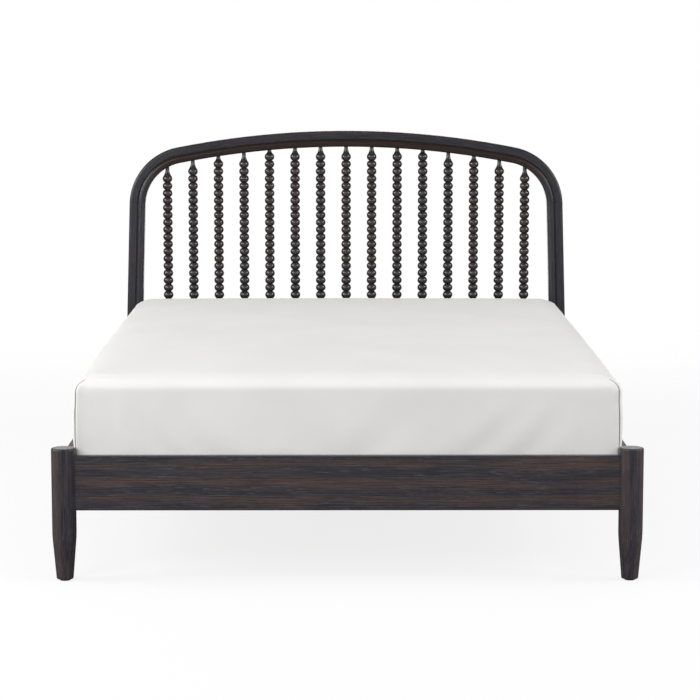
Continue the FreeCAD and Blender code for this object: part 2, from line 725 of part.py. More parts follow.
beam_from, beam_to = foot_inner + D.hanger_thick + 0.5, head_inner - D.hanger_thick - 0.5
beam = bar("centre_beam", D.beam_wide, beam_to - beam_from, D.slat_low - D.beam_low, D.rail_edge, "y")
place(beam, 0, (beam_from + beam_to) / 2, D.beam_low)
LEGS = (("middle", D.leg_mid_y), ("rear", D.leg_rear_y))
keep(less("centre_beam", beam, [rod(D.bolt_rad + 0.05, D.bolt_half + 11, 0, y, D.beam_low - 10) for _, y in LEGS]))

# ---------------------------------------------------------------- centre legs and levelling feet
bolts = []
for name, y in LEGS:
    leg = new_body("centre_leg_" + name)
    leg.Tip = turn(leg, outline(leg, "XZ_Plane", [
        (0, D.leg_foot), (D.leg_foot_rad - 1.5, D.leg_foot, 1.5, 1), (D.leg_foot_rad, D.leg_foot + 1.5),
        (D.leg_top_rad, D.beam_low - 20), (D.leg_top_rad, D.beam_low - 1.5, 1.5, 1), (D.leg_top_rad - 1.5, D.beam_low), (0, D.beam_low)],
        "leg_outline_" + name), name="leg_turn_" + name)
    place(leg, 0, y, 0)
    keep(less("centre_leg_" + name, leg, [
        rod(D.bolt_rad + 0.05, D.bolt_half + 11, 0, y, D.beam_low - D.bolt_half - 1),
        rod(D.insert_rad + 0.05, D.insert_len + 10.1, 0, y, D.leg_foot - 10),
        rod(D.stud_rad + 1, 62, 0, y, D.leg_foot - 1)]))

    stud = new_body("leveller_stud_" + name)
    hexr = D.hex_across / 2
    side = hexr * 2 / math.sqrt(3)
    turn(stud, outline(stud, "XZ_Plane", [(0, D.stud_low), (D.stud_rad - 0.6, D.stud_low), (D.stud_rad, D.stud_low + 0.6),
                                         (D.stud_rad, D.stud_high - 1), (D.stud_rad - 1, D.stud_high), (0, D.stud_high)],
                       "stud_outline_" + name), name="stud_turn_" + name)
    doc.recompute()
    hexa = outline(stud, "XY_Plane", [(side, 0), (side / 2, hexr), (-side / 2, hexr), (-side, 0), (-side / 2, -hexr), (side / 2, -hexr)],
                   "hex_outline_" + name)
    hexa.AttachmentOffset = FreeCAD.Placement(V(0, 0, D.hex_low.v), FreeCAD.Rotation())
    hexa.setExpression("AttachmentOffset.Base.z", D.hex_low.e)
    stud.Tip = pad(stud, hexa, D.hex_high - D.hex_low, name="hex_" + name)
    place(stud, 0, y, 0)
    keep(stud)

    foot = new_body("leveller_pad_" + name)
    foot.Tip = turn(foot, outline(foot, "XZ_Plane", [
        (0, 0), (D.pad_rad - 1.5, 0, 1.5, 1), (D.pad_rad, 1.5), (D.pad_rad, D.pad_high - 4), (D.pad_rad - 8, D.pad_high),
        (D.stud_rad + D.stud_gap, D.pad_high), (D.stud_rad + D.stud_gap, D.pad_socket), (0, D.pad_socket)],
        "pad_outline_" + name), name="pad_turn_" + name)
    place(foot, 0, y, 0)
    keep(foot)

insert = new_body("insert")
bore = D.stud_rad + D.stud_gap
insert.Tip = turn(insert, outline(insert, "XZ_Plane", [
    (bore, -D.flange_thick), (D.flange_rad, -D.flange_thick), (D.flange_rad, 0), (D.insert_rad, 0), (D.insert_rad, D.insert_len), (bore, D.insert_len)],
    "insert_outline"), name="insert_turn")
bolt = new_body("hanger_bolt")
bolt.Tip = turn(bolt, outline(bolt, "XZ_Plane", [
    (0, -D.bolt_half), (D.bolt_rad - 1.5, -D.bolt_half), (D.bolt_rad, -D.bolt_half + 4), (D.bolt_rad, D.bolt_half - 4), (D.bolt_rad - 1.5, D.bolt_half), (0, D.bolt_half)],
    "bolt_outline"), name="bolt_turn")
doc.recompute()
keep(group("leveller_inserts", insert, [(V(0, y.v, D.leg_foot.v), FreeCAD.Rotation()) for _, y in LEGS]))
keep(group("leg_hanger_bolts", bolt, [(V(0, y.v, D.beam_low.v), FreeCAD.Rotation()) for _, y in LEGS]))

# ---------------------------------------------------------------- side rails and ledgers
side_len = side_back_y - side_face_y
rail = bar("side_rail_right", D.side_rail_thick, side_len, D.rail_high - D.rail_low, D.rail_edge, "y")
place(rail, D.side_rail_x, (side_back_y + side_face_y) / 2, D.rail_low)
rail_cuts = [holes(hook_screws + hook_back + ledger_screws, "side_rail_screw_holes")]
for y0, y1 in ((side_face_y - 5, side_face_y + D.plate_thick), (side_back_y - D.plate_thick, side_back_y + 5)):
    rail_cuts.append(block(D.side_rail_x - D.hook_wide / 2 - 0.1, D.side_rail_x + D.hook_wide / 2 + 0.1, y0, y1, D.plate_low - 0.1, D.plate_high + 0.1))
right_rail = keep(less("side_rail_right", rail, rail_cuts))
keep(mirrored("side_rail_left", right_rail))

ledger = bar("ledger_cleat_right", D.ledger_thick, D.ledger_to - D.ledger_from, D.slat_low - D.ledger_low, D.rail_edge, "y")
place(ledger, ledger_x + D.ledger_thick / 2, (D.ledger_to + D.ledger_from) / 2, D.ledger_low)
right_ledger = keep(less("ledger_cleat_right", ledger, [holes(ledger_screws + slat_screws, "ledger_screw_holes")]))
keep(mirrored("ledger_cleat_left", right_ledger))

# ---------------------------------------------------------------- rail fittings
# each is drawn with the rail's end face at y = 0 and the post on the +y side
x0 = D.hook_wide / 2
hook_parts = [block(-x0, x0, -D.plate_thick, 0, D.plate_low, D.plate_high)]
for z in hook_zs:
    hook_parts.append(block(-D.hook_thick / 2, D.hook_thick / 2, -1, 7, z - 2, z + 18))
    hook_parts.append(block(-D.hook_thick / 2, D.hook_thick / 2, D.plate_thick + 0.2, 7, z - 12, z + 18))
hook_plate = doc.addObject("Part::Cut", "hook_plate")
hook_plate.Base = joined(hook_parts, "hook_plate_blank")
hook_plate.Tool = group("hook_plate_screw_holes", screw_hole, [(V(0, 0, p.z), POINTS["-y"]) for p, _ in hook_screws])
x1 = D.receiver_wide / 2
receiver = doc.addObject("Part::Cut", "receiver_plate")
receiver.Base = block(-x1, x1, 0, D.plate_thick, D.plate_low, D.plate_high)
receiver.Tool = joined([block(-D.hook_thick / 2 - 0.5, D.hook_thick / 2 + 0.5, -5, 10, z - 2, z + 32) for z in hook_zs]
                       + [group("receiver_screw_holes", screw_hole, [(V(0, 0, p.z), POINTS["+y"]) for p, _ in receiver_screws])], "receiver_cutters")
doc.recompute()
back = FreeCAD.Rotation(V(0, 0, 1), 180)
fit_spots = []
for sx in (1, -1):
    fit_spots.append((V(sx * D.side_rail_x.v, side_back_y.v, 0), FreeCAD.Rotation()))
    fit_spots.append((V(sx * D.side_rail_x.v, side_face_y.v, 0), back))
keep(group("rail_hook_plates", hook_plate, fit_spots))
keep(group("post_receiver_plates", receiver, fit_spots))

# ---------------------------------------------------------------- slats
for k, y in enumerate(slat_y):
    label = "slat_%02d" % (k + 1)
    slat = bar(label, D.slat_half * 2, D.slat_wide, D.slat_thick, D.rail_edge, "x")
    place(slat, 0, y, D.slat_low)
    keep(less(label, slat, [holes(both_sides(slat_screws[k:k + 1]), label + "_screw_holes")]))

straps = doc.addObject("Part::Compound", "slat_straps")
strap_list = []
for side in (1, -1):
    strap_list.append(block(side * D.strap_x - D.strap_wide / 2, side * D.strap_x + D.strap_wide / 2, slat_y[0] - D.slat_wide / 2 + 5,
                            slat_y[11] + D.slat_wide / 2 - 5, D.slat_low - D.strap_thick, D.slat_low))
straps.Links = strap_list
straps.Label = "slat_straps"
keep(straps)

# ---------------------------------------------------------------- foot glides
glide = new_body("glide")
glide.Tip = turn(glide, outline(glide, "XZ_Plane", [
    (0, 0), (D.glide_rad - D.glide_edge, 0, D.glide_edge, 1), (D.glide_rad, D.glide_edge), (D.glide_rad, D.leg_bottom), (0, D.leg_bottom)],
    "glide_outline"), name="glide_turn")
doc.recompute()
head_foot_x = post_inner_x(D.leg_bottom) + D.hoop_wide / 2
keep(group("foot_glides", glide, [(V(sx * x.v, y.v, 0), FreeCAD.Rotation()) for sx in (1, -1) for x, y in ((D.post_x, D.post_y), (head_foot_x, D.head_y))]))


# ---------------------------------------------------------------- mattress and fitted sheet
def cushion(label, grow):
    """A rounded slab, the bed's own size grown or shrunk evenly by a margin."""
    grow = as_q(grow)
    body = new_body(label)
    hx, hy, c = D.bed_half_x + grow, D.bed_half_y + grow, D.bed_corner + grow
    sk = outline(body, "XY_Plane", [
        (-hx + c, -hy), (hx - c, -hy, c, 1), (hx, -hy + c), (hx, hy - c, c, 1), (hx - c, hy), (-hx + c, hy, c, 1), (-hx, hy - c), (-hx, -hy + c, c, 1)],
        label + "_outline")
    last = pad(body, sk, D.bed_high - D.bed_low + grow * 2, name=label + "_pad")
    height = D.bed_high.v - D.bed_low.v + 2 * grow.v

    def level(e):
        z = [v.Point.z for v in e.Vertexes]
        return max(z) - min(z) < 1e-6 and (abs(z[0]) < 1e-6 or abs(z[0] - height) < 1e-6)
    body.Tip = soften(body, last, level, D.bed_edge + grow, label + "_edges")
    return place(body, 0, 0, D.bed_low - grow)


outer = cushion("fitted_sheet", 0)
inner = cushion("sheet_room", -D.sheet_thick)
inset = D.bed_edge + D.sheet_hem
mouth = block(-D.bed_half_x + inset, D.bed_half_x - inset, -D.bed_half_y + inset, D.bed_half_y - inset, D.bed_low - 5, D.bed_low + 20)
keep(less("fitted_sheet", outer, [inner, mouth]))
core = cushion("mattress", -(D.sheet_thick + D.sheet_gap))
hollow = cushion("spring_room", -(D.sheet_thick + D.sheet_gap + D.pad_layer))
keep(less("mattress", core, [hollow]))

# ---------------------------------------------------------------- check, then write
doc.recompute()
bad = [o.Name for o in doc.Objects if "Invalid" in o.State or "Error" in o.State]
if bad:
    raise RuntimeError("failed objects: " + ", ".join(bad))
labels = [o.Label for o in NODES]
if len(set(labels)) != len(labels) or len(labels) > 60:
    raise RuntimeError("node names repeat, or there are too many: %d" % len(labels))
for o in NODES:
    if o.Shape.isNull() or not o.Shape.isValid() or not o.Shape.Solids:
        raise RuntimeError("bad shape: " + o.Label)
os.makedirs("parts", exist_ok=True)
for o in NODES:
    o.Shape.exportStep("parts/%s.step" % o.Label)
    b = o.Shape.BoundBox
    print("%-26s solids %2d  vol %12.0f  x %8.1f %8.1f  y %8.1f %8.1f  z %7.1f %7.1f" % (
        o.Label, len(o.Shape.Solids), o.Shape.Volume, b.XMin, b.XMax, b.YMin, b.YMax, b.ZMin, b.ZMax))
print(len(labels), "nodes")
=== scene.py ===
import bpy
import math
import numpy as np
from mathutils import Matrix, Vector


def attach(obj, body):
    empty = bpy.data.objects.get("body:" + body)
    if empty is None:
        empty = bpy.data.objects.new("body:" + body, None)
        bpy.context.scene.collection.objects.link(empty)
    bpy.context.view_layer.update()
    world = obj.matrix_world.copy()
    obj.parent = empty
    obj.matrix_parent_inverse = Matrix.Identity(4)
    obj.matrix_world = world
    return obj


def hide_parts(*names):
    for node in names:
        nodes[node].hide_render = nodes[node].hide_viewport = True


# Platform bed: dark brushed wood with an arched bobbin-spindle headboard, and a mattress in a white fitted sheet.
# Metres, +Z up, +Y towards the headboard.

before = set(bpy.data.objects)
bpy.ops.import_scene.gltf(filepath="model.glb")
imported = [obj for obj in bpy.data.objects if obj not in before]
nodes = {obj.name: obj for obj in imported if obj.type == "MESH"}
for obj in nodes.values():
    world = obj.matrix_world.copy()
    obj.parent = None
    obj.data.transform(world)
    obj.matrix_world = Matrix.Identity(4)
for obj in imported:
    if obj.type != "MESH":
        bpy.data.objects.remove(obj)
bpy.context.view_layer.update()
scene = bpy.context.scene


# ------------------------------------------------------------------ shader writing
class Mat:
    """A material, written node by node."""

    def __init__(self, name):
        self.m = bpy.data.materials.new(name)
        self.m.use_nodes = True
        self.t = self.m.node_tree
        self.t.nodes.clear()
        out = self.t.nodes.new("ShaderNodeOutputMaterial")
        self.bsdf = self.t.nodes.new("ShaderNodeBsdfPrincipled")
        self.t.links.new(self.bsdf.outputs[0], out.inputs["Surface"])

    def put(self, socket, v):
        if isinstance(v, bpy.types.NodeSocket):
            self.t.links.new(v, socket)
        else:
            socket.default_value = v

    def node(self, kind, inputs=None, **props):
        n = self.t.nodes.new(kind)
        for k, v in props.items():
            setattr(n, k, v)
        for k, v in (inputs or {}).items():
            self.put(n.inputs[k], v)
        return n

    def math(self, op, a, b=None, c=None, clamp=False):
        n = self.t.nodes.new("ShaderNodeMath")
        n.operation = op
        n.use_clamp = clamp
        for i, v in enumerate((a, b, c)):
            if v is not None:
                self.put(n.inputs[i], v)
        return n.outputs[0]

    def mul(self, a, b):
        return self.math("MULTIPLY", a, b)

    def add(self, a, b):
        return self.math("ADD", a, b)

    def sub(self, a, b):
        return self.math("SUBTRACT", a, b)

    def sum(self, *terms):
        out = terms[0]
        for t in terms[1:]:
            out = self.add(out, t)
        return out

    def vec(self, x, y, z):
        return self.node("ShaderNodeCombineXYZ", {0: x, 1: y, 2: z}).outputs[0]

    def split(self, v):
        return list(self.node("ShaderNodeSeparateXYZ", {0: v}).outputs)

    def object_xyz(self):
        return self.split(self.node("ShaderNodeTexCoord").outputs["Object"])

    def noise(self, vector, scale=1.0, detail=2.0, rough=0.5, twist=0.0):
        return self.node("ShaderNodeTexNoise", {"Vector": vector, "Scale": scale, "Detail": detail, "Roughness": rough,
                                                "Distortion": twist}).outputs[0]

    def stretch(self, along, u, v, sa, sc, **kw):
        """Noise drawn out along the grain: sa and sc are its scales along it and across it, per metre."""
        return self.noise(self.vec(self.mul(along, sa), self.mul(u, sc), self.mul(v, sc)), **kw)

    def step(self, v, a, b, lo=0.0, hi=1.0):
        n = self.node("ShaderNodeMapRange", {"Value": v, "From Min": a, "From Max": b, "To Min": lo, "To Max": hi},
                      interpolation_type="SMOOTHSTEP")
        return n.outputs[0]

    def wave(self, v, period, phase=0.0):
        """A sine of a length in metres, from -1 to 1."""
        return self.math("SINE", self.add(self.mul(v, 2 * math.pi / period), phase))

    def mix(self, f, a, b, blend="MIX"):
        n = self.t.nodes.new("ShaderNodeMix")
        n.data_type = "RGBA"
        n.blend_type = blend
        self.put(n.inputs[0], f)
        for i, c in ((6, a), (7, b)):
            self.put(n.inputs[i], c if isinstance(c, bpy.types.NodeSocket) else (*c, 1.0))
        return n.outputs[2]

    def bump(self, height, distance, strength):
        return self.node("ShaderNodeBump", {"Height": height, "Distance": distance, "Strength": strength}).outputs[0]

    def worn(self, radius=0.004):
        """How far a point lies towards an outer edge, from the difference between the face and a rounded one."""
        soft = self.node("ShaderNodeBevel", {"Radius": radius}, samples=4).outputs[0]
        face = self.node("ShaderNodeNewGeometry").outputs["Normal"]
        dot = self.node("ShaderNodeVectorMath", {0: soft, 1: face}, operation="DOT_PRODUCT").outputs["Value"]
        return self.step(self.sub(1.0, dot), 0.012, 0.16)

    def finish(self, **sockets):
        for k, v in sockets.items():
            s = self.bsdf.inputs[k.replace("_", " ")]
            if not isinstance(v, bpy.types.NodeSocket) and s.type == "RGBA":
                v = (*v, 1.0)
            self.put(s, v)
        return self.m


# ------------------------------------------------------------------ grain directions
# each returns the place along the grain and the two places across it, in metres
CREST_R, CREST_Z = 3.140, -1.9715
CREST_HALF = math.radians(11.1825)
CORNER_R, CORNER_X, CORNER_Z = 0.213, 0.56766, 0.89993
SPLAY = math.radians(1.843)
MID = 0.028
S_CORNER = (CREST_R - MID) * CREST_HALF
S_POST = S_CORNER + (CORNER_R - MID) * math.radians(76.974)


def straight(axis, at=(0.0, 0.0)):
    order = {"x": (0, 2, 1), "y": (1, 2, 0), "z": (2, 0, 1)}[axis]

    def head(m):
        p = m.object_xyz()
        return p[order[0]], m.sub(p[order[1]], at[0]), m.sub(p[order[2]], at[1])
    return head


def crest_head(m):
    x, y, z = m.object_xyz()
    dz = m.sub(z, CREST_Z)
    r = m.math("SQRT", m.add(m.mul(x, x), m.mul(dz, dz)))
    a = m.math("ARCTAN2", x, dz)
    return m.mul(a, CREST_R - MID), m.sub(CREST_R, r), m.sub(y, 1.045)


def corner_head(side):
    def head(m):
        x, y, z = m.object_xyz()
        dx, dz = m.sub(m.mul(x, side), CORNER_X), m.sub(z, CORNER_Z)
        r = m.math("SQRT", m.add(m.mul(dx, dx), m.mul(dz, dz)))
        a = m.sub(m.math("ARCTAN2", dx, dz), CREST_HALF)
        s = m.add(m.mul(a, CORNER_R - MID), S_CORNER)
        return m.mul(s, side), m.sub(CORNER_R, r), m.sub(y, 1.045)
    return head


def post_head(side):
    def head(m):
        x, y, z = m.object_xyz()
        dx, dz = m.sub(m.mul(x, side), CORNER_X), m.sub(z, CORNER_Z)
        c, s = math.cos(SPLAY), math.sin(SPLAY)
        out = m.add(m.mul(dx, c), m.mul(dz, s))
        down = m.sub(m.mul(dx, s), m.mul(dz, c))
        return m.mul(m.add(down, S_POST), side), m.sub(CORNER_R, out), m.sub(y, 1.045)
    return head


# ------------------------------------------------------------------ materials
def stained_wood(name, head, pith=(-0.25, 0.16), band=0.047, phase=0.0, brown=0.0, figure=None, drift=1.0, tone=1.0, inner=None,
                 rough=0.30, relief=0.30, specular=0.22, wear=0.35, shaded_neck_from=None):
    """Dark stained wood with a brushed face: slate and brown bands along the growth rings, fine fibres,
    pale filled pores in the slate and dark open ones in the brown."""
    m = Mat(name)
    along, u, v = head(m)
    slow = m.stretch(along, u, v, 0.9, 4.0, detail=2.0)
    mid = m.stretch(along, u, v, 4.5, 22.0, detail=3.0)
    du, dv = m.sub(u, pith[0]), m.sub(v, pith[1])
    ring = m.math("SQRT", m.add(m.mul(du, du), m.mul(dv, dv)))
    ring = m.sum(ring, m.mul(m.sub(slow, 0.5), 0.026 * drift), m.mul(m.sub(mid, 0.5), 0.012 * drift))
    if figure:
        # an arched figure, where the rings run out through the face
        fa, fu, la, lu, high = figure
        da, dh = m.mul(m.sub(along, fa), 1 / la), m.mul(m.sub(u, fu), 1 / lu)
        bell = m.math("EXPONENT", m.mul(m.add(m.mul(da, da), m.mul(dh, dh)), -1.0))
        ring = m.add(ring, m.mul(bell, high))
    wide = m.wave(ring, band, phase)
    patch = m.stretch(along, u, v, 3.6, 20.0, detail=4.0, rough=0.62)
    push = m.sum(m.mul(wide, 0.40), m.mul(m.sub(patch, 0.5), 3.0), brown)
    t = tone
    if inner:
        # the moulded inner half takes the stain browner than the flat band; on the crest and upper corners it is also
        # painted darker, painted shade where the round faces down
        side = m.step(u, inner[0] + 0.001, inner[0] + 0.004)
        if len(inner) > 3:
            # turning from the post's colour to the crest's painted shade and browner stain on the way up
            side = m.mul(side, m.step(m.object_xyz()[2], inner[3], inner[4]))
        push = m.add(push, m.mul(side, inner[1]))
    warm = m.step(push, -0.75, 1.05)
    fibre = m.stretch(along, u, v, 9.0, 330.0, detail=4.0, rough=0.62)
    pore = m.stretch(along, u, v, 42.0, 1100.0, detail=2.0)
    dash = m.stretch(along, u, v, 26.0, 400.0, detail=2.0, rough=0.4)
    fine = m.wave(m.add(ring, m.mul(m.sub(fibre, 0.5), 0.003)), 0.0064)
    slate = m.mix(m.step(fibre, 0.28, 0.72), (0.0185 * t, 0.0176 * t, 0.0228 * t), (0.0352 * t, 0.0334 * t, 0.0425 * t))
    tan = m.mix(m.step(fibre, 0.26, 0.74), (0.0390 * t, 0.0272 * t, 0.0240 * t), (0.0780 * t, 0.0530 * t, 0.0462 * t))
    colour = m.mix(warm, slate, tan)
    colour = m.mix(m.mul(m.step(fine, 0.2, 1.0), 0.30), colour, (0.0120 * t, 0.0105 * t, 0.0118 * t))
    pale = m.mul(m.step(dash, 0.60, 0.72), m.sub(0.70, m.mul(warm, 0.50)))
    colour = m.mix(pale, colour, (0.0680 * t, 0.0690 * t, 0.0850 * t))
    colour = m.mix(m.mul(m.step(pore, 0.57, 0.70), 0.55), colour, (0.0075, 0.0062, 0.0064))
    if inner:
        # painted shade: the inner round multiplied darker by inner[2], on the crest and the upper corners
        colour = m.mix(side, colour, m.mix(1.0, colour, tuple(inner[2] * (1 + k * inner[1]) for k in (0.10, -0.03, -0.05)), blend="MULTIPLY"))
        # painted shade in the quirk between the two, with the stain lying darker there
        quirk = m.step(m.math("ABSOLUTE", m.sub(u, inner[0] + 0.0020)), 0.0018, 0.0032, 1.0, 0.0)
        colour = m.mix(m.mul(quirk, 0.62), colour, (0.0060, 0.0042, 0.0040))
    edge = m.mul(m.worn(), m.step(mid, 0.38, 0.66))
    colour = m.mix(m.mul(edge, wear), colour, (0.0700, 0.0580, 0.0560))
    height = m.sum(m.mul(fibre, 0.55), m.mul(m.step(pore, 0.50, 0.72), -0.5), m.mul(fine, -0.12), m.mul(pale, -0.2))
    gloss = m.sum(m.mul(fibre, 0.22), m.mul(pale, 0.10), rough - 0.11)
    if shaded_neck_from:
        # painted shade: the thin necks under the hoop are painted darker, and made a little rougher
        neck = m.step(along, shaded_neck_from, shaded_neck_from + 0.010)
        colour = m.mix(m.mul(neck, 0.75), colour, (0.0040, 0.0032, 0.0032))
        gloss = m.add(gloss, m.mul(neck, 0.06))
    return m.finish(Base_Color=colour, Roughness=gloss, Specular_IOR_Level=specular, Normal=m.bump(height, 0.0005, relief))


def raw_wood(name, head, pith=(0.05, 0.09), knots=True, tone=1.0):
    """Planed softwood: pale, with growth rings, a few knots and fine pores."""
    m = Mat(name)
    along, u, v = head(m)
    slow = m.stretch(along, u, v, 1.1, 9.0, detail=2.0)
    du, dv = m.sub(u, pith[0]), m.sub(v, pith[1])
    ring = m.math("SQRT", m.add(m.mul(du, du), m.mul(dv, dv)))
    ring = m.add(ring, m.mul(m.sub(slow, 0.5), 0.030))
    fibre = m.stretch(along, u, v, 14.0, 420.0, detail=4.0, rough=0.6)
    blotch = m.stretch(along, u, v, 3.0, 12.0, detail=3.0)
    line = m.wave(m.add(ring, m.mul(m.sub(fibre, 0.5), 0.0012)), 0.0048)
    late = m.math("POWER", m.step(line, -0.6, 1.0), 2.2)
    c = m.mix(m.step(blotch, 0.3, 0.75), (0.56 * tone, 0.37 * tone, 0.19 * tone), (0.70 * tone, 0.51 * tone, 0.30 * tone))
    c = m.mix(m.mul(late, 0.62), c, (0.36 * tone, 0.185 * tone, 0.070 * tone))
    c = m.mix(m.mul(m.step(fibre, 0.5, 0.8), 0.22), c, (0.33, 0.20, 0.10))
    height = m.sum(m.mul(fibre, 0.6), m.mul(late, 0.35))
    if knots:
        cell = m.node("ShaderNodeTexVoronoi", {"Vector": m.vec(m.mul(along, 2.2), m.mul(u, 11.0), m.mul(v, 2.0)), "Scale": 1.0})
        k = m.step(m.add(cell.outputs["Distance"], m.mul(m.sub(fibre, 0.5), 0.03)), 0.045, 0.10, 1.0, 0.0)
        c = m.mix(m.mul(k, 0.85), c, (0.120, 0.052, 0.022))
    return m.finish(Base_Color=c, Roughness=m.sum(m.mul(fibre, 0.2), 0.5), Specular_IOR_Level=0.35, Normal=m.bump(height, 0.0004, 0.3))


def zinc(name):
    """Bright zinc plate: faint spangle, cloudy patches and drawing marks."""
    m = Mat(name)
    x, y, z = m.object_xyz()
    co = m.vec(x, y, z)
    cell = m.node("ShaderNodeTexVoronoi", {"Vector": co, "Scale": 900.0}).outputs["Color"]
    grain = m.split(cell)[0]
    cloud = m.noise(co, scale=60.0, detail=4.0)
    scratch = m.noise(m.vec(m.mul(x, 900.0), m.mul(y, 900.0), m.mul(z, 60.0)), detail=3.0)
    c = m.mix(grain, (0.50, 0.51, 0.52), (0.68, 0.69, 0.69))
    c = m.mix(m.mul(m.step(cloud, 0.45, 0.75), 0.5), c, (0.58, 0.54, 0.42))
    rough = m.sum(m.mul(cloud, 0.25), m.mul(scratch, 0.12), 0.16)
    return m.finish(Base_Color=c, Metallic=1.0, Roughness=rough, Normal=m.bump(m.add(scratch, m.mul(grain, 0.3)), 0.0001, 0.25))


def threaded(name, pitch, centre):
    """Zinc-plated steel with a rolled thread about an upright axis."""
    m = Mat(name)
    x, y, z = m.object_xyz()
    a = m.math("ARCTAN2", m.sub(y, centre[1]), m.sub(x, centre[0]))
    turn = m.sub(m.mul(z, 2 * math.pi / pitch), a)
    ridge = m.math("SINE", turn)
    cloud = m.noise(m.vec(x, y, z), scale=220.0, detail=4.0)
    c = m.mix(m.step(ridge, -0.7, 0.7), (0.30, 0.30, 0.30), (0.66, 0.67, 0.67))
    return m.finish(Base_Color=c, Metallic=1.0, Roughness=m.sum(m.mul(cloud, 0.25), 0.2), Normal=m.bump(ridge, 0.0005, 0.9))


def coated_steel(name):
    """Black powder coat over folded steel: an orange-peel skin, rubbed at the edges."""
    m = Mat(name)
    co = m.node("ShaderNodeTexCoord").outputs["Object"]
    peel = m.noise(co, scale=1400.0, detail=2.0)
    cloud = m.noise(co, scale=40.0, detail=4.0)
    c = m.mix(cloud, (0.011, 0.011, 0.012), (0.024, 0.024, 0.026))
    edge = m.mul(m.worn(0.0015), m.step(cloud, 0.45, 0.65))
    c = m.mix(m.mul(edge, 0.7), c, (0.20, 0.20, 0.20))
    return m.finish(Base_Color=c, Roughness=m.sum(m.mul(cloud, 0.2), 0.38), Specular_IOR_Level=0.5, Normal=m.bump(peel, 0.0002, 0.3))


def moulded_plastic(name):
    """Black moulded plastic with a fine spark-eroded grain and scuffs."""
    m = Mat(name)
    co = m.node("ShaderNodeTexCoord").outputs["Object"]
    grain = m.noise(co, scale=2600.0, detail=2.0)
    scuff = m.noise(co, scale=120.0, detail=5.0, rough=0.7)
    c = m.mix(m.step(scuff, 0.5, 0.8), (0.014, 0.014, 0.015), (0.045, 0.045, 0.047))
    return m.finish(Base_Color=c, Roughness=m.sum(m.mul(scuff, 0.25), 0.42), Specular_IOR_Level=0.4, Normal=m.bump(grain, 0.0002, 0.35))


def webbing(name):
    """Woven polypropylene strap: a herringbone of black yarns with paler flecks."""
    m = Mat(name)
    flat = m.split(m.node("ShaderNodeAttribute", attribute_name="flat").outputs["Vector"])
    a, b = flat[0], flat[1]
    fold = m.math("PINGPONG", b, 0.0042)
    twill = m.wave(m.add(a, m.mul(fold, 1.0)), 0.0021)
    warp = m.wave(b, 0.0014)
    yarn = m.noise(m.vec(m.mul(a, 260.0), m.mul(b, 1400.0), 0.0), detail=3.0)
    c = m.mix(m.step(twill, -0.4, 0.8), (0.010, 0.010, 0.011), (0.040, 0.040, 0.043))
    c = m.mix(m.mul(m.step(yarn, 0.58, 0.75), 0.5), c, (0.090, 0.090, 0.094))
    height = m.sum(m.mul(twill, 0.6), m.mul(warp, 0.25), m.mul(yarn, 0.3))
    return m.finish(Base_Color=c, Roughness=0.72, Specular_IOR_Level=0.3, Sheen_Weight=0.2, Sheen_Roughness=0.5, Normal=m.bump(height, 0.0006, 0.7))


def cotton(name):
    """White cotton percale: plain weave, slubs, a stitched line beside the hem, and a painted shade line down each
    corner seam.
    """
    m = Mat(name)
    flat = m.split(m.node("ShaderNodeAttribute", attribute_name="flat").outputs["Vector"])
    mark = m.split(m.node("ShaderNodeAttribute", attribute_name="sewn").outputs["Vector"])
    a, b = flat[0], flat[1]
    weave = m.mul(m.wave(a, 0.00056), m.wave(b, 0.00056))
    slub = m.add(m.noise(m.vec(m.mul(a, 40.0), m.mul(b, 900.0), 0.0), detail=3.0),
                 m.noise(m.vec(m.mul(a, 900.0), m.mul(b, 40.0), 3.0), detail=3.0))
    soft = m.noise(m.vec(a, b, 0.0), scale=3.0, detail=3.0)
    crease = m.noise(m.vec(m.mul(a, 9.0), m.mul(b, 16.0), 1.0), detail=4.0, rough=0.55, twist=0.6)
    c = m.mix(m.step(soft, 0.3, 0.7), (0.800, 0.792, 0.780), (0.835, 0.828, 0.818))
    c = m.mix(m.mul(m.step(slub, 1.05, 1.35), 0.25), c, (0.74, 0.73, 0.715))
    # thread: short stitches along the line 11 mm in from the hem
    line = m.step(m.math("ABSOLUTE", m.sub(mark[0], 0.011)), 0.0004, 0.0009, 1.0, 0.0)
    dash = m.step(m.math("PINGPONG", mark[1], 0.0018), 0.0003, 0.0007)
    stitch = m.mul(line, dash)
    c = m.mix(m.mul(stitch, 0.6), c, (0.90, 0.89, 0.88))
    # painted shade: a near-black line down each corner seam, for the shadow in its fold
    seam = m.step(mark[2], 0.0010, 0.0022, 1.0, 0.0)
    c = m.mix(m.mul(seam, 0.88), c, (0.13, 0.125, 0.12))
    height = m.sum(m.mul(weave, 0.10), m.mul(slub, 0.10), m.mul(crease, 0.9), m.mul(stitch, 0.4), m.mul(line, -0.3))
    return m.finish(Base_Color=c, Roughness=0.82, Specular_IOR_Level=0.25, Sheen_Weight=0.12, Sheen_Roughness=0.45,
                    Normal=m.bump(height, 0.0012, 0.22))


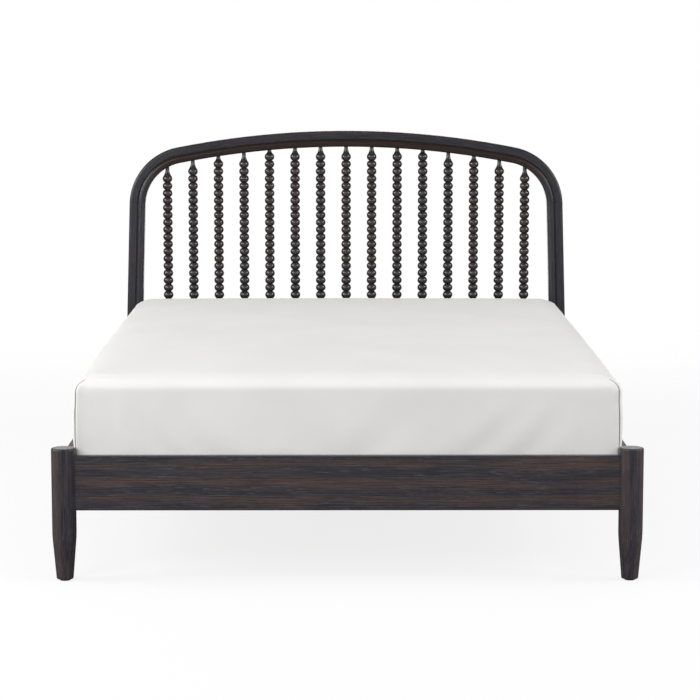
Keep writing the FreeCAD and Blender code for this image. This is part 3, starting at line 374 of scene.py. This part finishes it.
def ticking(name):
    """Woven mattress ticking: off-white with narrow blue-grey stripes, a herringbone ground and slubs."""
    m = Mat(name)
    flat = m.split(m.node("ShaderNodeAttribute", attribute_name="flat").outputs["Vector"])
    a, b = flat[0], flat[1]
    fold = m.math("PINGPONG", a, 0.004)
    twill = m.wave(m.add(b, fold), 0.0016)
    slub = m.noise(m.vec(m.mul(a, 700.0), m.mul(b, 30.0), 0.0), detail=3.0)
    broad = m.step(m.math("PINGPONG", a, 0.030), 0.0255, 0.0262)
    thin = m.step(m.math("ABSOLUTE", m.sub(m.math("PINGPONG", a, 0.030), 0.0215)), 0.0007, 0.0011, 1.0, 0.0)
    c = m.mix(m.step(slub, 0.35, 0.7), (0.70, 0.67, 0.60), (0.80, 0.775, 0.715))
    c = m.mix(m.mul(m.add(broad, thin), 0.75), c, (0.20, 0.235, 0.30))
    height = m.sum(m.mul(twill, 0.5), m.mul(slub, 0.4))
    return m.finish(Base_Color=c, Roughness=0.86, Specular_IOR_Level=0.2, Sheen_Weight=0.15, Sheen_Roughness=0.5, Normal=m.bump(height, 0.0005, 0.4))


def pale_floor(name):
    """A pale matt floor, evenly lit, that fades out round its rim."""
    m = Mat(name)
    x, y, z = m.object_xyz()
    cloud = m.noise(m.vec(x, y, z), scale=0.6, detail=3.0)
    c = m.mix(cloud, (0.15, 0.15, 0.15), (0.17, 0.17, 0.17))
    far = m.math("SQRT", m.add(m.mul(x, x), m.mul(y, y)))
    seen = m.node("ShaderNodeLightPath").outputs["Is Camera Ray"]
    return m.finish(Base_Color=c, Roughness=0.9, Specular_IOR_Level=0.05, Emission_Color=(1.0, 1.0, 1.0),
                    Emission_Strength=m.mul(seen, 0.82), Alpha=m.step(far, 2.2, 5.0, 1.0, 0.0))


def dress(node, material):
    o = nodes[node]
    o.data.materials.clear()
    o.data.materials.append(material)


# hoop
# the hoop's tone is painted shade: set darker than the other rails of the same wood, for how the light falls on it
dress("headboard_crest_rail", stained_wood("wood_crest", crest_head, pith=(0.20, 0.12), brown=-0.50, inner=(0.0275, 2.0, 0.36), drift=0.5, tone=0.82, relief=0.2, specular=0.26))
for side, word in ((1, "right"), (-1, "left")):
    dress("headboard_%s_corner" % word, stained_wood("wood_corner_" + word, corner_head(side), pith=(0.20, 0.12), brown=-0.75, inner=(0.0275, 2.0, 0.36, 0.955, 1.055), drift=0.5, tone=0.82, relief=0.2, specular=0.30))
    dress("headboard_%s_post" % word, stained_wood("wood_head_post_" + word, post_head(side), pith=(0.20, 0.12), brown=-0.75, inner=(0.0275, 0.0, 1.0), drift=0.5, tone=0.80, relief=0.2, specular=0.36))
# rails and posts
# the front rail's tone is painted light: set lighter than the other pieces of the same wood, for the light falling on
# the front
dress("footboard_rail", stained_wood("wood_foot_rail", straight("x", (0.27475, -1.0332)), pith=(-0.36, 0.10), phase=1.1,
                                     figure=(0.52, 0.012, 0.15, 0.032, 0.020), tone=1.62))
dress("headboard_spindle_rail", stained_wood("wood_spindle_rail", straight("x", (0.513, 1.045)), pith=(-0.20, 0.10)))
dress("headboard_base_rail", stained_wood("wood_base_rail", straight("x", (0.27475, 1.045)), pith=(-0.30, -0.10), phase=2.0))
for side, word in ((1, "right"), (-1, "left")):
    dress("side_rail_" + word, stained_wood("wood_side_rail_" + word, straight("y", (0.27475, side * 0.78)), pith=(-0.33, -0.12 * side), phase=side * 0.9,
                                            figure=(0.25 * side, 0.0, 0.22, 0.034, 0.018), tone=0.95, rough=0.42, specular=0.08))
    # the front posts' tone is painted light in the same way, the right post lighter than the left
    dress("footboard_%s_post" % word, stained_wood("wood_foot_post_" + word, straight("z", (side * 0.7865, -1.0332)), pith=(0.055 * side, 0.075), band=0.034,
                                                   phase=1.0 + side, brown=-0.12, tone=1.50 + 0.08 * side))
for i in range(15):
    x = (i - 7) * 0.092
    dress("spindle_%02d" % (i + 1), stained_wood("wood_spindle_%02d" % (i + 1), straight("z", (x, 1.045)),
                                                pith=(0.05 * math.sin(2.4 * i), 0.05 + 0.02 * math.cos(1.7 * i)), band=0.040, phase=1.9 * i,
                                                brown=0.10 * math.sin(3.1 * i) + 0.14, tone=0.45, rough=0.25, relief=0.04, specular=0.64, wear=0.03,
                                                shaded_neck_from=0.5768 + 0.02625 * (19, 19, 19, 19, 18, 18, 17, 16)[abs(i - 7)] + 0.008))
for word, y in (("middle", 0.0), ("rear", 0.52)):
    dress("centre_leg_" + word, stained_wood("wood_leg_" + word, straight("z", (0.0, y)), pith=(0.05, 0.05), band=0.03, phase=3 * y))
# under the mattress
for word, x in (("right", 0.755), ("left", -0.755)):
    dress("ledger_cleat_" + word, raw_wood("pine_ledger_" + word, straight("y", (0.27, x)), pith=(0.04, 0.06 * (1 if x > 0 else -1))))
dress("centre_beam", raw_wood("pine_beam", straight("y", (0.26, 0.0)), pith=(-0.05, 0.07)))
for k in range(12):
    y = -0.955 + 0.173636 * k
    dress("slat_%02d" % (k + 1), raw_wood("pine_slat_%02d" % (k + 1), straight("x", (0.30, y)), pith=(0.06 + 0.02 * math.sin(2.0 * k), 0.05 * math.cos(2.3 * k)),
                                         tone=0.95 + 0.06 * math.sin(4.1 * k)))
dress("joint_dowels", raw_wood("beech_dowel", straight("x", (0.3, 0.0)), pith=(0.4, 0.3), knots=False, tone=0.9))
plate = zinc("zinc_plate")
for n in ("rail_hook_plates", "post_receiver_plates", "wood_screws", "hanger_screws", "leveller_inserts"):
    dress(n, plate)
for word, y in (("middle", 0.0), ("rear", 0.52)):
    dress("leveller_stud_" + word, threaded("thread_" + word, 0.00125, (0.0, y)))
    dress("leveller_pad_" + word, moulded_plastic("plastic_pad_" + word))
dress("leg_hanger_bolts", threaded("thread_bolt", 0.00125, (0.0, 0.0)))
dress("beam_hangers", coated_steel("black_steel"))
dress("foot_glides", moulded_plastic("plastic_glide"))


# ------------------------------------------------------------------ soft goods: a slab on a lattice
def lines(half, near, gap):
    """Lattice lines from -half to half: the given distances from each end, then an even spacing between."""
    a = -half + np.array(near)
    n = max(2, int(round((2 * half - 2 * near[-1]) / gap)) + 1)
    return np.concatenate([a, np.linspace(a[-1], -a[-1], n)[1:-1], -a[::-1]])


class Slab:
    """A rounded slab as a lattice on a box's six sides. hem is how far the underside reaches in, or None where it is closed."""

    def __init__(self, hx, hy, z0, z1, corner, edge, near, gap, gap_z, hem=None):
        self.hx, self.hy, self.z0, self.z1, self.corner, self.hem = hx, hy, z0, z1, corner, hem
        self.edge_top, self.edge_low = edge, (0.030, 0.030)
        mid = (z0 + z1) / 2
        self.xs, self.ys = lines(hx, near, gap), lines(hy, near, gap)
        self.zs = mid + lines((z1 - z0) / 2, near[:-2], gap_z)
        if hem:
            inner = np.array([hem])
            self.xs = np.unique(np.round(np.concatenate([self.xs, hx - inner, inner - hx]), 5))
            self.ys = np.unique(np.round(np.concatenate([self.ys, hy - inner, inner - hy]), 5))
        nx, ny, nz = len(self.xs), len(self.ys), len(self.zs)
        self.index, self.ijk = {}, []

        def vert(i, j, k):
            key = (i, j, k)
            if key not in self.index:
                self.index[key] = len(self.ijk)
                self.ijk.append(key)
            return self.index[key]

        faces = []
        for i in range(nx - 1):
            for j in range(ny - 1):
                faces.append((vert(i, j, nz - 1), vert(i + 1, j, nz - 1), vert(i + 1, j + 1, nz - 1), vert(i, j + 1, nz - 1)))
                if hem:
                    cx, cy = (self.xs[i] + self.xs[i + 1]) / 2, (self.ys[j] + self.ys[j + 1]) / 2
                    if abs(cx) < hx - hem and abs(cy) < hy - hem:
                        continue
                faces.append((vert(i, j, 0), vert(i, j + 1, 0), vert(i + 1, j + 1, 0), vert(i + 1, j, 0)))
        for k in range(nz - 1):
            for i in range(nx - 1):
                faces.append((vert(i, 0, k), vert(i + 1, 0, k), vert(i + 1, 0, k + 1), vert(i, 0, k + 1)))
                faces.append((vert(i + 1, ny - 1, k), vert(i, ny - 1, k), vert(i, ny - 1, k + 1), vert(i + 1, ny - 1, k + 1)))
            for j in range(ny - 1):
                faces.append((vert(0, j + 1, k), vert(0, j, k), vert(0, j, k + 1), vert(0, j + 1, k + 1)))
                faces.append((vert(nx - 1, j, k), vert(nx - 1, j + 1, k), vert(nx - 1, j + 1, k + 1), vert(nx - 1, j, k + 1)))
        self.faces = faces
        ijk = np.array(self.ijk)
        self.box = np.stack([self.xs[ijk[:, 0]], self.ys[ijk[:, 1]], self.zs[ijk[:, 2]]], 1)
        self.top, self.bottom = ijk[:, 2] == nz - 1, ijk[:, 2] == 0
        self.on_x = (ijk[:, 0] == 0) | (ijk[:, 0] == nx - 1)
        self.on_y = (ijk[:, 1] == 0) | (ijk[:, 1] == ny - 1)
        self.co = self.shape(self.box)
        self.flat = self.unfold()

    def shape(self, box):
        """The lattice's points carried from the box to the rounded slab."""
        half = np.array([self.hx, self.hy])
        q = np.abs(box[:, :2])
        depth = (half - q).min(1)
        flat = self.top | self.bottom
        side = self.on_x | self.on_y
        high, low = self.z1 - box[:, 2], box[:, 2] - self.z0
        upper = high < low
        near_z = np.minimum(high, low)
        wide = np.where(upper, self.edge_top[0], self.edge_low[0])
        tall = np.where(upper, self.edge_top[1], self.edge_low[1])
        power = np.where(upper, 2 / 2.05, 1.0)
        # the angle from the vertical on the rounded edge: 0 on the flat, 90 degrees on the side
        a = np.where(side, np.pi / 2 - np.clip((tall - near_z) / tall, 0, 1) * np.pi / 4,
                     np.where(flat, np.clip((wide - depth) / wide, 0, 1) * np.pi / 4, 0))
        a = np.where(side & flat, np.pi / 4, a)
        curved = np.where(side, near_z < tall, depth < wide)
        inset = np.where(curved, wide - wide * np.clip(np.sin(a), 0, 1) ** power, np.where(side, 0, depth))
        drop = np.where(curved, tall - tall * np.clip(np.cos(a), 0, 1) ** power, np.where(side, near_z, 0))
        # each level's outline is a rectangle set in by inset, with rounded corners that fade out on the flat
        r = (self.corner * np.clip(1 - (depth - wide) / 0.08, 0, 1))[:, None]
        inner = np.maximum(half - depth[:, None] - r, 0)
        c = np.minimum(q, inner)
        v = q - c
        n = v / np.maximum(np.linalg.norm(v, axis=1), 1e-9)[:, None]
        ramp = np.clip((c - inner + 0.15) / 0.15, 0, 1)
        shift = (inset - depth)[:, None] * ramp * ramp * (3 - 2 * ramp)
        out = np.empty_like(box)
        out[:, :2] = np.sign(box[:, :2]) * (c - shift + n * r)
        out[:, 2] = np.where(upper, self.z1 - drop, self.z0 + drop)
        return out

    def unfold(self):
        """The same points on the flat cut, in metres: the top in the middle and the sides folded out."""
        b = self.box
        x, y = b[:, 0].copy(), b[:, 1].copy()
        fall = self.z1 - b[:, 2]
        under = np.where(self.bottom, np.minimum(self.hx - np.abs(x), self.hy - np.abs(y)), 0)
        far = fall + under
        to_x = (self.hx - np.abs(x)) < (self.hy - np.abs(y))
        x = np.where(to_x, np.sign(x) * (self.hx + far * (far > 0)) * (far > 0) + x * (far <= 0), x)
        y = np.where(~to_x, np.sign(y) * (self.hy + far * (far > 0)) * (far > 0) + y * (far <= 0), y)
        return np.stack([x, y, np.zeros(len(x))], 1)

    def normals(self, co=None):
        co = self.co if co is None else co
        f = np.array(self.faces)
        d1, d2 = co[f[:, 2]] - co[f[:, 0]], co[f[:, 3]] - co[f[:, 1]]
        fn = np.cross(d1, d2)
        out = np.zeros_like(co)
        for k in range(4):
            np.add.at(out, f[:, k], fn)
        return out / np.maximum(np.linalg.norm(out, axis=1), 1e-12)[:, None]

    def mesh(self, name, co=None, extra=None):
        me = bpy.data.meshes.new(name)
        me.from_pydata((self.co if co is None else co).tolist(), [], self.faces)
        attrs = {"flat": self.flat}
        attrs.update(extra or {})
        for key, data in attrs.items():
            at = me.attributes.new(key, "FLOAT_VECTOR", "POINT")
            at.data.foreach_set("vector", data.astype(np.float32).ravel())
        me.update()
        for p in me.polygons:
            p.use_smooth = True
        o = bpy.data.objects.new(name, me)
        scene.collection.objects.link(o)
        return o


def lumps(p, seed, scale, count=24):
    """A smooth seeded field made of a few long waves, about -1 to 1."""
    rng = np.random.default_rng(seed)
    out = np.zeros(len(p))
    for _ in range(count):
        k = rng.normal(size=3) * scale
        out += np.sin(p @ k + rng.uniform(0, 2 * np.pi))
    return out / math.sqrt(count / 2) / 2


BED_X, BED_Y, BED_LOW, BED_TOP = 0.762, 1.016, 0.3103, 0.568
CORNER, EDGE, HEM, SEAM = 0.013, (0.090, 0.038), 0.128, 0.0066
EDGE_IN = (0.086, 0.034)
DENSE = [0.0, 0.0022, 0.0044, SEAM, 0.0090, 0.013, 0.019, 0.027, 0.036, 0.047, 0.060, 0.075, 0.092]


def crown(p):
    """How far the padded top and sides stand from the plain slab: full in the middle, drawn in along the edges."""
    x, y = p[:, 0] / BED_X, p[:, 1] / BED_Y
    top = (1 - np.clip(np.abs(x), 0, 1) ** 3.2) * (1 - np.clip(np.abs(y), 0, 1) ** 3.0)
    back, front = np.clip(y, 0, 1), np.clip((-y - 0.45) / 0.55, 0, 1)
    return 0.0140 * (top - 0.22) + 0.0110 - 0.0060 * back ** 10 - 0.0065 * front ** 2


def draw_in(p):
    """The sides lean in a little towards the top."""
    t = np.clip((p[:, 2] - 0.40) / 0.15, 0, 1)
    t = 0.004 * t * t * (3 - 2 * t)
    p[:, 0] *= 1 - t / BED_X
    p[:, 1] *= 1 - t / BED_Y


# the sheet's wrinkles, from a coarse cloth laid over a form a little smaller than its cut
def settle():
    even = [0.0, 0.012, 0.026, 0.042]
    cloth = Slab(BED_X, BED_Y, BED_LOW, BED_TOP, CORNER, EDGE, even, 0.026, 0.026, hem=HEM)
    o = cloth.mesh("sheet_trial")
    core = Slab(BED_X - 0.0045, BED_Y - 0.0045, BED_LOW + 0.003, BED_TOP - 0.0045, CORNER - 0.004, EDGE_IN, even, 0.05, 0.05)
    form = core.mesh("form_trial")
    form.modifiers.new("hit", "COLLISION")
    form.collision.thickness_outer = 0.002
    form.collision.thickness_inner = 0.02
    form.collision.cloth_friction = 8.0
    held = o.vertex_groups.new(name="held")
    held.add([int(i) for i in np.nonzero(cloth.bottom)[0]], 1.0, "REPLACE")
    mod = o.modifiers.new("cloth", "CLOTH")
    s = mod.settings
    s.quality = 6
    s.mass = 0.3
    s.tension_stiffness = 18
    s.compression_stiffness = 18
    s.shear_stiffness = 6
    s.bending_stiffness = 0.35
    s.tension_damping = s.compression_damping = s.shear_damping = 12
    s.air_damping = 4
    s.vertex_group_mass = "held"
    s.shrink_min = -0.0045
    mod.collision_settings.collision_quality = 2
    mod.collision_settings.distance_min = 0.0015
    mod.collision_settings.use_self_collision = False
    mod.point_cache.frame_start, mod.point_cache.frame_end = 1, 24
    for f in range(1, 25):
        scene.frame_set(f)
    ev = o.evaluated_get(bpy.context.evaluated_depsgraph_get())
    co = np.empty(len(ev.data.vertices) * 3)
    ev.data.vertices.foreach_get("co", co)
    moved = co.reshape(-1, 3) - cloth.co
    scene.frame_set(1)
    for x in (o, form):
        me = x.data
        bpy.data.objects.remove(x)
        bpy.data.meshes.remove(me)
    moved = (moved * cloth.normals()).sum(1)
    # only the wrinkles are kept: the mean of each level round the slab is taken off
    depth = np.minimum(cloth.hx - np.abs(cloth.box[:, 0]), cloth.hy - np.abs(cloth.box[:, 1]))
    level = np.round(np.where(cloth.on_x | cloth.on_y, cloth.box[:, 2], 2 + depth), 3)
    for a in np.unique(level):
        pick = level == a
        moved[pick] -= moved[pick].mean()
    return cloth, moved


def carry(coarse, values, fine):
    """A coarse lattice's values read at a finer lattice's points, side by side."""
    out = np.zeros(len(fine.box))
    nx, ny, nz = len(coarse.xs), len(coarse.ys), len(coarse.zs)

    def grid(fixed, where):
        a, b = [n for n in range(3) if n != fixed]
        size = (nx, ny, nz)
        g = np.zeros((size[a], size[b]))
        for (i, j, k), q in coarse.index.items():
            key = (i, j, k)
            if key[fixed] == where:
                g[key[a], key[b]] = values[q]
        return g, a, b

    axes = (coarse.xs, coarse.ys, coarse.zs)
    total = np.zeros(len(fine.box))
    for fixed, where, mask in ((2, nz - 1, fine.top), (2, 0, fine.bottom), (0, 0, fine.box[:, 0] < -coarse.hx + 1e-6), (0, nx - 1, fine.box[:, 0] > coarse.hx - 1e-6),
                               (1, 0, fine.box[:, 1] < -coarse.hy + 1e-6), (1, ny - 1, fine.box[:, 1] > coarse.hy - 1e-6)):
        g, a, b = grid(fixed, where)
        p = fine.box[mask]
        ia = np.clip(np.searchsorted(axes[a], p[:, a]) - 1, 0, len(axes[a]) - 2)
        ib = np.clip(np.searchsorted(axes[b], p[:, b]) - 1, 0, len(axes[b]) - 2)
        ta = (p[:, a] - axes[a][ia]) / (axes[a][ia + 1] - axes[a][ia])
        tb = (p[:, b] - axes[b][ib]) / (axes[b][ib + 1] - axes[b][ib])
        out[mask] += (g[ia, ib] * (1 - ta) + g[ia + 1, ib] * ta) * (1 - tb) + (g[ia, ib + 1] * (1 - ta) + g[ia + 1, ib + 1] * ta) * tb
        total[mask] += 1
    return out / np.maximum(total, 1)


def make_sheet():
    s = Slab(BED_X, BED_Y, BED_LOW, BED_TOP, CORNER, EDGE, DENSE, 0.022, 0.018, hem=HEM)
    n = s.normals()
    p = s.co.copy()
    lift = np.where(p[:, 2] > BED_TOP - 0.10, crown(p), 0)
    fold = 0.0009 * lumps(p, 5, 9.0) + 0.0005 * lumps(p, 6, 26.0)
    coarse, moved = settle()
    fold = fold * 0.5 + np.clip(carry(coarse, moved, s), -0.006, 0.006)
    grip = np.clip((p[:, 2] - BED_LOW) / 0.05, 0, 1)
    p += n * (fold * grip)[:, None]
    p[:, 2] += lift * np.clip((p[:, 2] - (BED_TOP - 0.10)) / 0.10, 0, 1)
    # corner seams: the cloth is drawn in along a line down each corner, and puckers beside it
    gx, gy = BED_X - np.abs(s.box[:, 0]), BED_Y - np.abs(s.box[:, 1])
    near = np.where(s.on_y & ~s.bottom & ~s.top, np.abs(gx - SEAM), 1.0)
    fade = np.clip((BED_TOP - s.box[:, 2]) / 0.03, 0, 1)
    p -= n * (0.0020 * np.exp(-(near / 0.0022) ** 2) * fade)[:, None]
    pucker = np.exp(-near / 0.016) * np.sin(s.box[:, 2] * 2 * np.pi / 0.023 + 3 * np.sign(s.box[:, 0]))
    p += n * (0.0006 * pucker * fade * grip)[:, None]
    draw_in(p)
    # the gathered hem under the mattress
    inx, iny = gx, gy
    depth = np.minimum(inx, iny)
    run = np.where(inx < iny, s.box[:, 1], s.box[:, 0])
    gather = np.clip((depth - 0.070) / 0.055, 0, 1) * s.bottom
    p[:, 2] += gather * (0.0022 + 0.0020 * np.sin(run * 2 * np.pi / 0.031 + 2.0 * np.sin(run * 23.0)))
    hem_edge = np.where(s.bottom, HEM - depth, 1.0)
    sewn = np.stack([hem_edge, run, near], 1)
    o = s.mesh("fitted_sheet_cloth", p, {"sewn": sewn})
    sub = o.modifiers.new("smooth", "SUBSURF")
    sub.levels = sub.render_levels = 1
    thick = o.modifiers.new("thick", "SOLIDIFY")
    thick.thickness, thick.offset = 0.0011, -1.0
    o.data.materials.append(cotton("white_cotton"))
    return o


def make_mattress():
    inset = 0.0060
    s = Slab(BED_X - inset, BED_Y - inset, BED_LOW + 0.0006, BED_TOP - inset, CORNER - 0.004, EDGE_IN, DENSE, 0.024, 0.018)
    n = s.normals()
    p = s.co.copy()
    x, y = p[:, 0], p[:, 1]
    # quilted lozenges on the top panel, a piped edge at the top and the bottom of the border
    lozenge = np.minimum(np.abs(((x + y) / 0.19 + 0.5) % 1 - 0.5), np.abs(((x - y) / 0.19 + 0.5) % 1 - 0.5))
    quilt = np.where(s.top, -0.0030 * np.exp(-(lozenge / 0.07) ** 2), 0)
    p[:, 2] += quilt + np.where(p[:, 2] > BED_TOP - 0.11, crown(p), 0) * np.clip((p[:, 2] - (BED_TOP - 0.11)) / 0.10, 0, 1)
    gx, gy = s.hx - np.abs(s.box[:, 0]), s.hy - np.abs(s.box[:, 1])
    depth = np.minimum(gx, gy)
    for z in (s.z0 + 0.030, s.z1 - 0.030):
        p -= n * (0.0022 * np.exp(-((p[:, 2] - z) / 0.006) ** 2) * (s.on_x | s.on_y))[:, None]
    # the underside is clear of the sheet's hem, and rests on the slats inside it
    p[:, 2] += np.where(s.bottom, 0.0062 * np.clip(1 - (depth - 0.128) / 0.02, 0, 1), 0)
    p[:, 2] = np.where((s.on_x | s.on_y) & ~s.top, np.maximum(p[:, 2], s.z0 + 0.0062), p[:, 2])
    draw_in(p)
    o = s.mesh("mattress_body", p)
    sub = o.modifiers.new("smooth", "SUBSURF")
    sub.levels = sub.render_levels = 1
    o.data.materials.append(ticking("mattress_ticking"))
    return o


def make_straps():
    """Two webbing straps under the slats, taut at each slat and slack between."""
    verts, faces, flat = [], [], []
    ys = np.arange(-1.000, 1.0001, 0.006)
    across = np.linspace(-0.015, 0.015, 9)
    for side in (-1, 1):
        base = len(verts)
        for i, y in enumerate(ys):
            t = ((y + 0.955) / 0.173636) % 1.0
            gap = np.clip((abs(((t + 0.5) % 1.0) - 0.5) * 0.173636 - 0.048) / 0.039, 0, 1)
            sag = 0.0022 * math.sin(gap * math.pi / 2) ** 2 if -0.955 < y < 0.955 else 0.0
            for w in across:
                rib = 0.00016 * math.cos(w / 0.015 * math.pi * 3)
                edge = 0.0003 * math.sin(y * 190.0 + side) * (abs(w) / 0.015) ** 6
                verts.append((side * 0.4 + w * (1 + edge * 10), y, 0.28935 - sag + rib))
                flat.append((y, w, 0.0))
        n = len(across)
        for i in range(len(ys) - 1):
            for j in range(n - 1):
                a = base + i * n + j
                faces.append((a, a + 1, a + n + 1, a + n))
    me = bpy.data.meshes.new("strap_webbing")
    me.from_pydata(verts, [], faces)
    at = me.attributes.new("flat", "FLOAT_VECTOR", "POINT")
    at.data.foreach_set("vector", np.array(flat, np.float32).ravel())
    for p in me.polygons:
        p.use_smooth = True
    o = bpy.data.objects.new("strap_webbing", me)
    scene.collection.objects.link(o)
    thick = o.modifiers.new("thick", "SOLIDIFY")
    thick.thickness, thick.offset = 0.0011, 0.0
    o.data.materials.append(webbing("strap_weave"))
    return o


sheet = make_sheet()
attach(sheet, "mattress")
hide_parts("fitted_sheet")

mattress = make_mattress()
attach(mattress, "mattress")
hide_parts("mattress")

straps = make_straps()
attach(straps, "frame")
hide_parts("slat_straps")

# ------------------------------------------------------------------ stage, light, camera
def disc(name, radius, rings, spokes):
    verts, faces = [(0.0, 0.0, 0.0)], []
    for i in range(1, rings + 1):
        for j in range(spokes):
            a = 2 * math.pi * j / spokes
            verts.append((radius * i / rings * math.cos(a), radius * i / rings * math.sin(a), 0.0))
    for j in range(spokes):
        faces.append((0, 1 + j, 1 + (j + 1) % spokes))
    for i in range(1, rings):
        for j in range(spokes):
            k = (j + 1) % spokes
            faces.append((1 + (i - 1) * spokes + j, 1 + i * spokes + j, 1 + i * spokes + k, 1 + (i - 1) * spokes + k))
    me = bpy.data.meshes.new(name)
    me.from_pydata(verts, [], faces)
    o = bpy.data.objects.new(name, me)
    scene.collection.objects.link(o)
    return o


floor = disc("floor", 5.2, 8, 64)
floor.data.materials.append(pale_floor("pale_floor"))

# a white surround, dimmer as a light than it looks
world = bpy.data.worlds.new("studio")
world.use_nodes = True
wt = world.node_tree
back = wt.nodes["Background"]
back.inputs["Color"].default_value = (1.0, 1.0, 1.0, 1.0)
back.inputs["Strength"].default_value = 0.35
seen = wt.nodes.new("ShaderNodeBackground")
seen.inputs["Color"].default_value = (1.0, 1.0, 1.0, 1.0)
seen.inputs["Strength"].default_value = 1.0
way = wt.nodes.new("ShaderNodeLightPath")
join = wt.nodes.new("ShaderNodeMixShader")
wt.links.new(way.outputs["Is Camera Ray"], join.inputs[0])
wt.links.new(back.outputs[0], join.inputs[1])
wt.links.new(seen.outputs[0], join.inputs[2])
wt.links.new(join.outputs[0], wt.nodes["World Output"].inputs["Surface"])
scene.world = world


def softbox(name, at, to, size, power, spread=180.0):
    d = bpy.data.lights.new(name, "AREA")
    d.shape = "RECTANGLE"
    d.size, d.size_y = size
    d.energy = power
    d.spread = math.radians(spread)
    o = bpy.data.objects.new(name, d)
    o.location = at
    o.rotation_euler = (Vector(to) - Vector(at)).to_track_quat("-Z", "Y").to_euler()
    o.visible_camera = False
    scene.collection.objects.link(o)
    return o


softbox("side_left", (-4.65, -1.05, 2.35), (0.0, 1.0, 0.85), (2.1, 2.1), 168)
softbox("side_right", (4.65, -1.05, 2.35), (0.0, 1.0, 0.85), (2.1, 2.1), 137)
softbox("back_fill", (0.0, 4.6, 0.9), (0.0, 1.05, 0.7), (4.0, 1.4), 28)
softbox("front_left", (-3.0, -4.8, 2.0), (0.0, -0.4, 0.5), (2.6, 2.6), 118)
softbox("front_right", (3.0, -4.8, 2.0), (0.0, -0.4, 0.5), (2.6, 2.6), 58)

cam_data = bpy.data.cameras.new("camera")
cam_data.lens = 121.2253
cam_data.sensor_width = 36.0
cam_data.sensor_fit = "HORIZONTAL"
cam = bpy.data.objects.new("camera", cam_data)
cam.location = (-0.01563, -7.46445, 1.48607)
cam.rotation_euler = (math.pi / 2 - 0.1300205, 0.0, -0.0034884)
scene.collection.objects.link(cam)
scene.camera = cam

scene.view_settings.view_transform = "Standard"
scene.view_settings.look = "None"
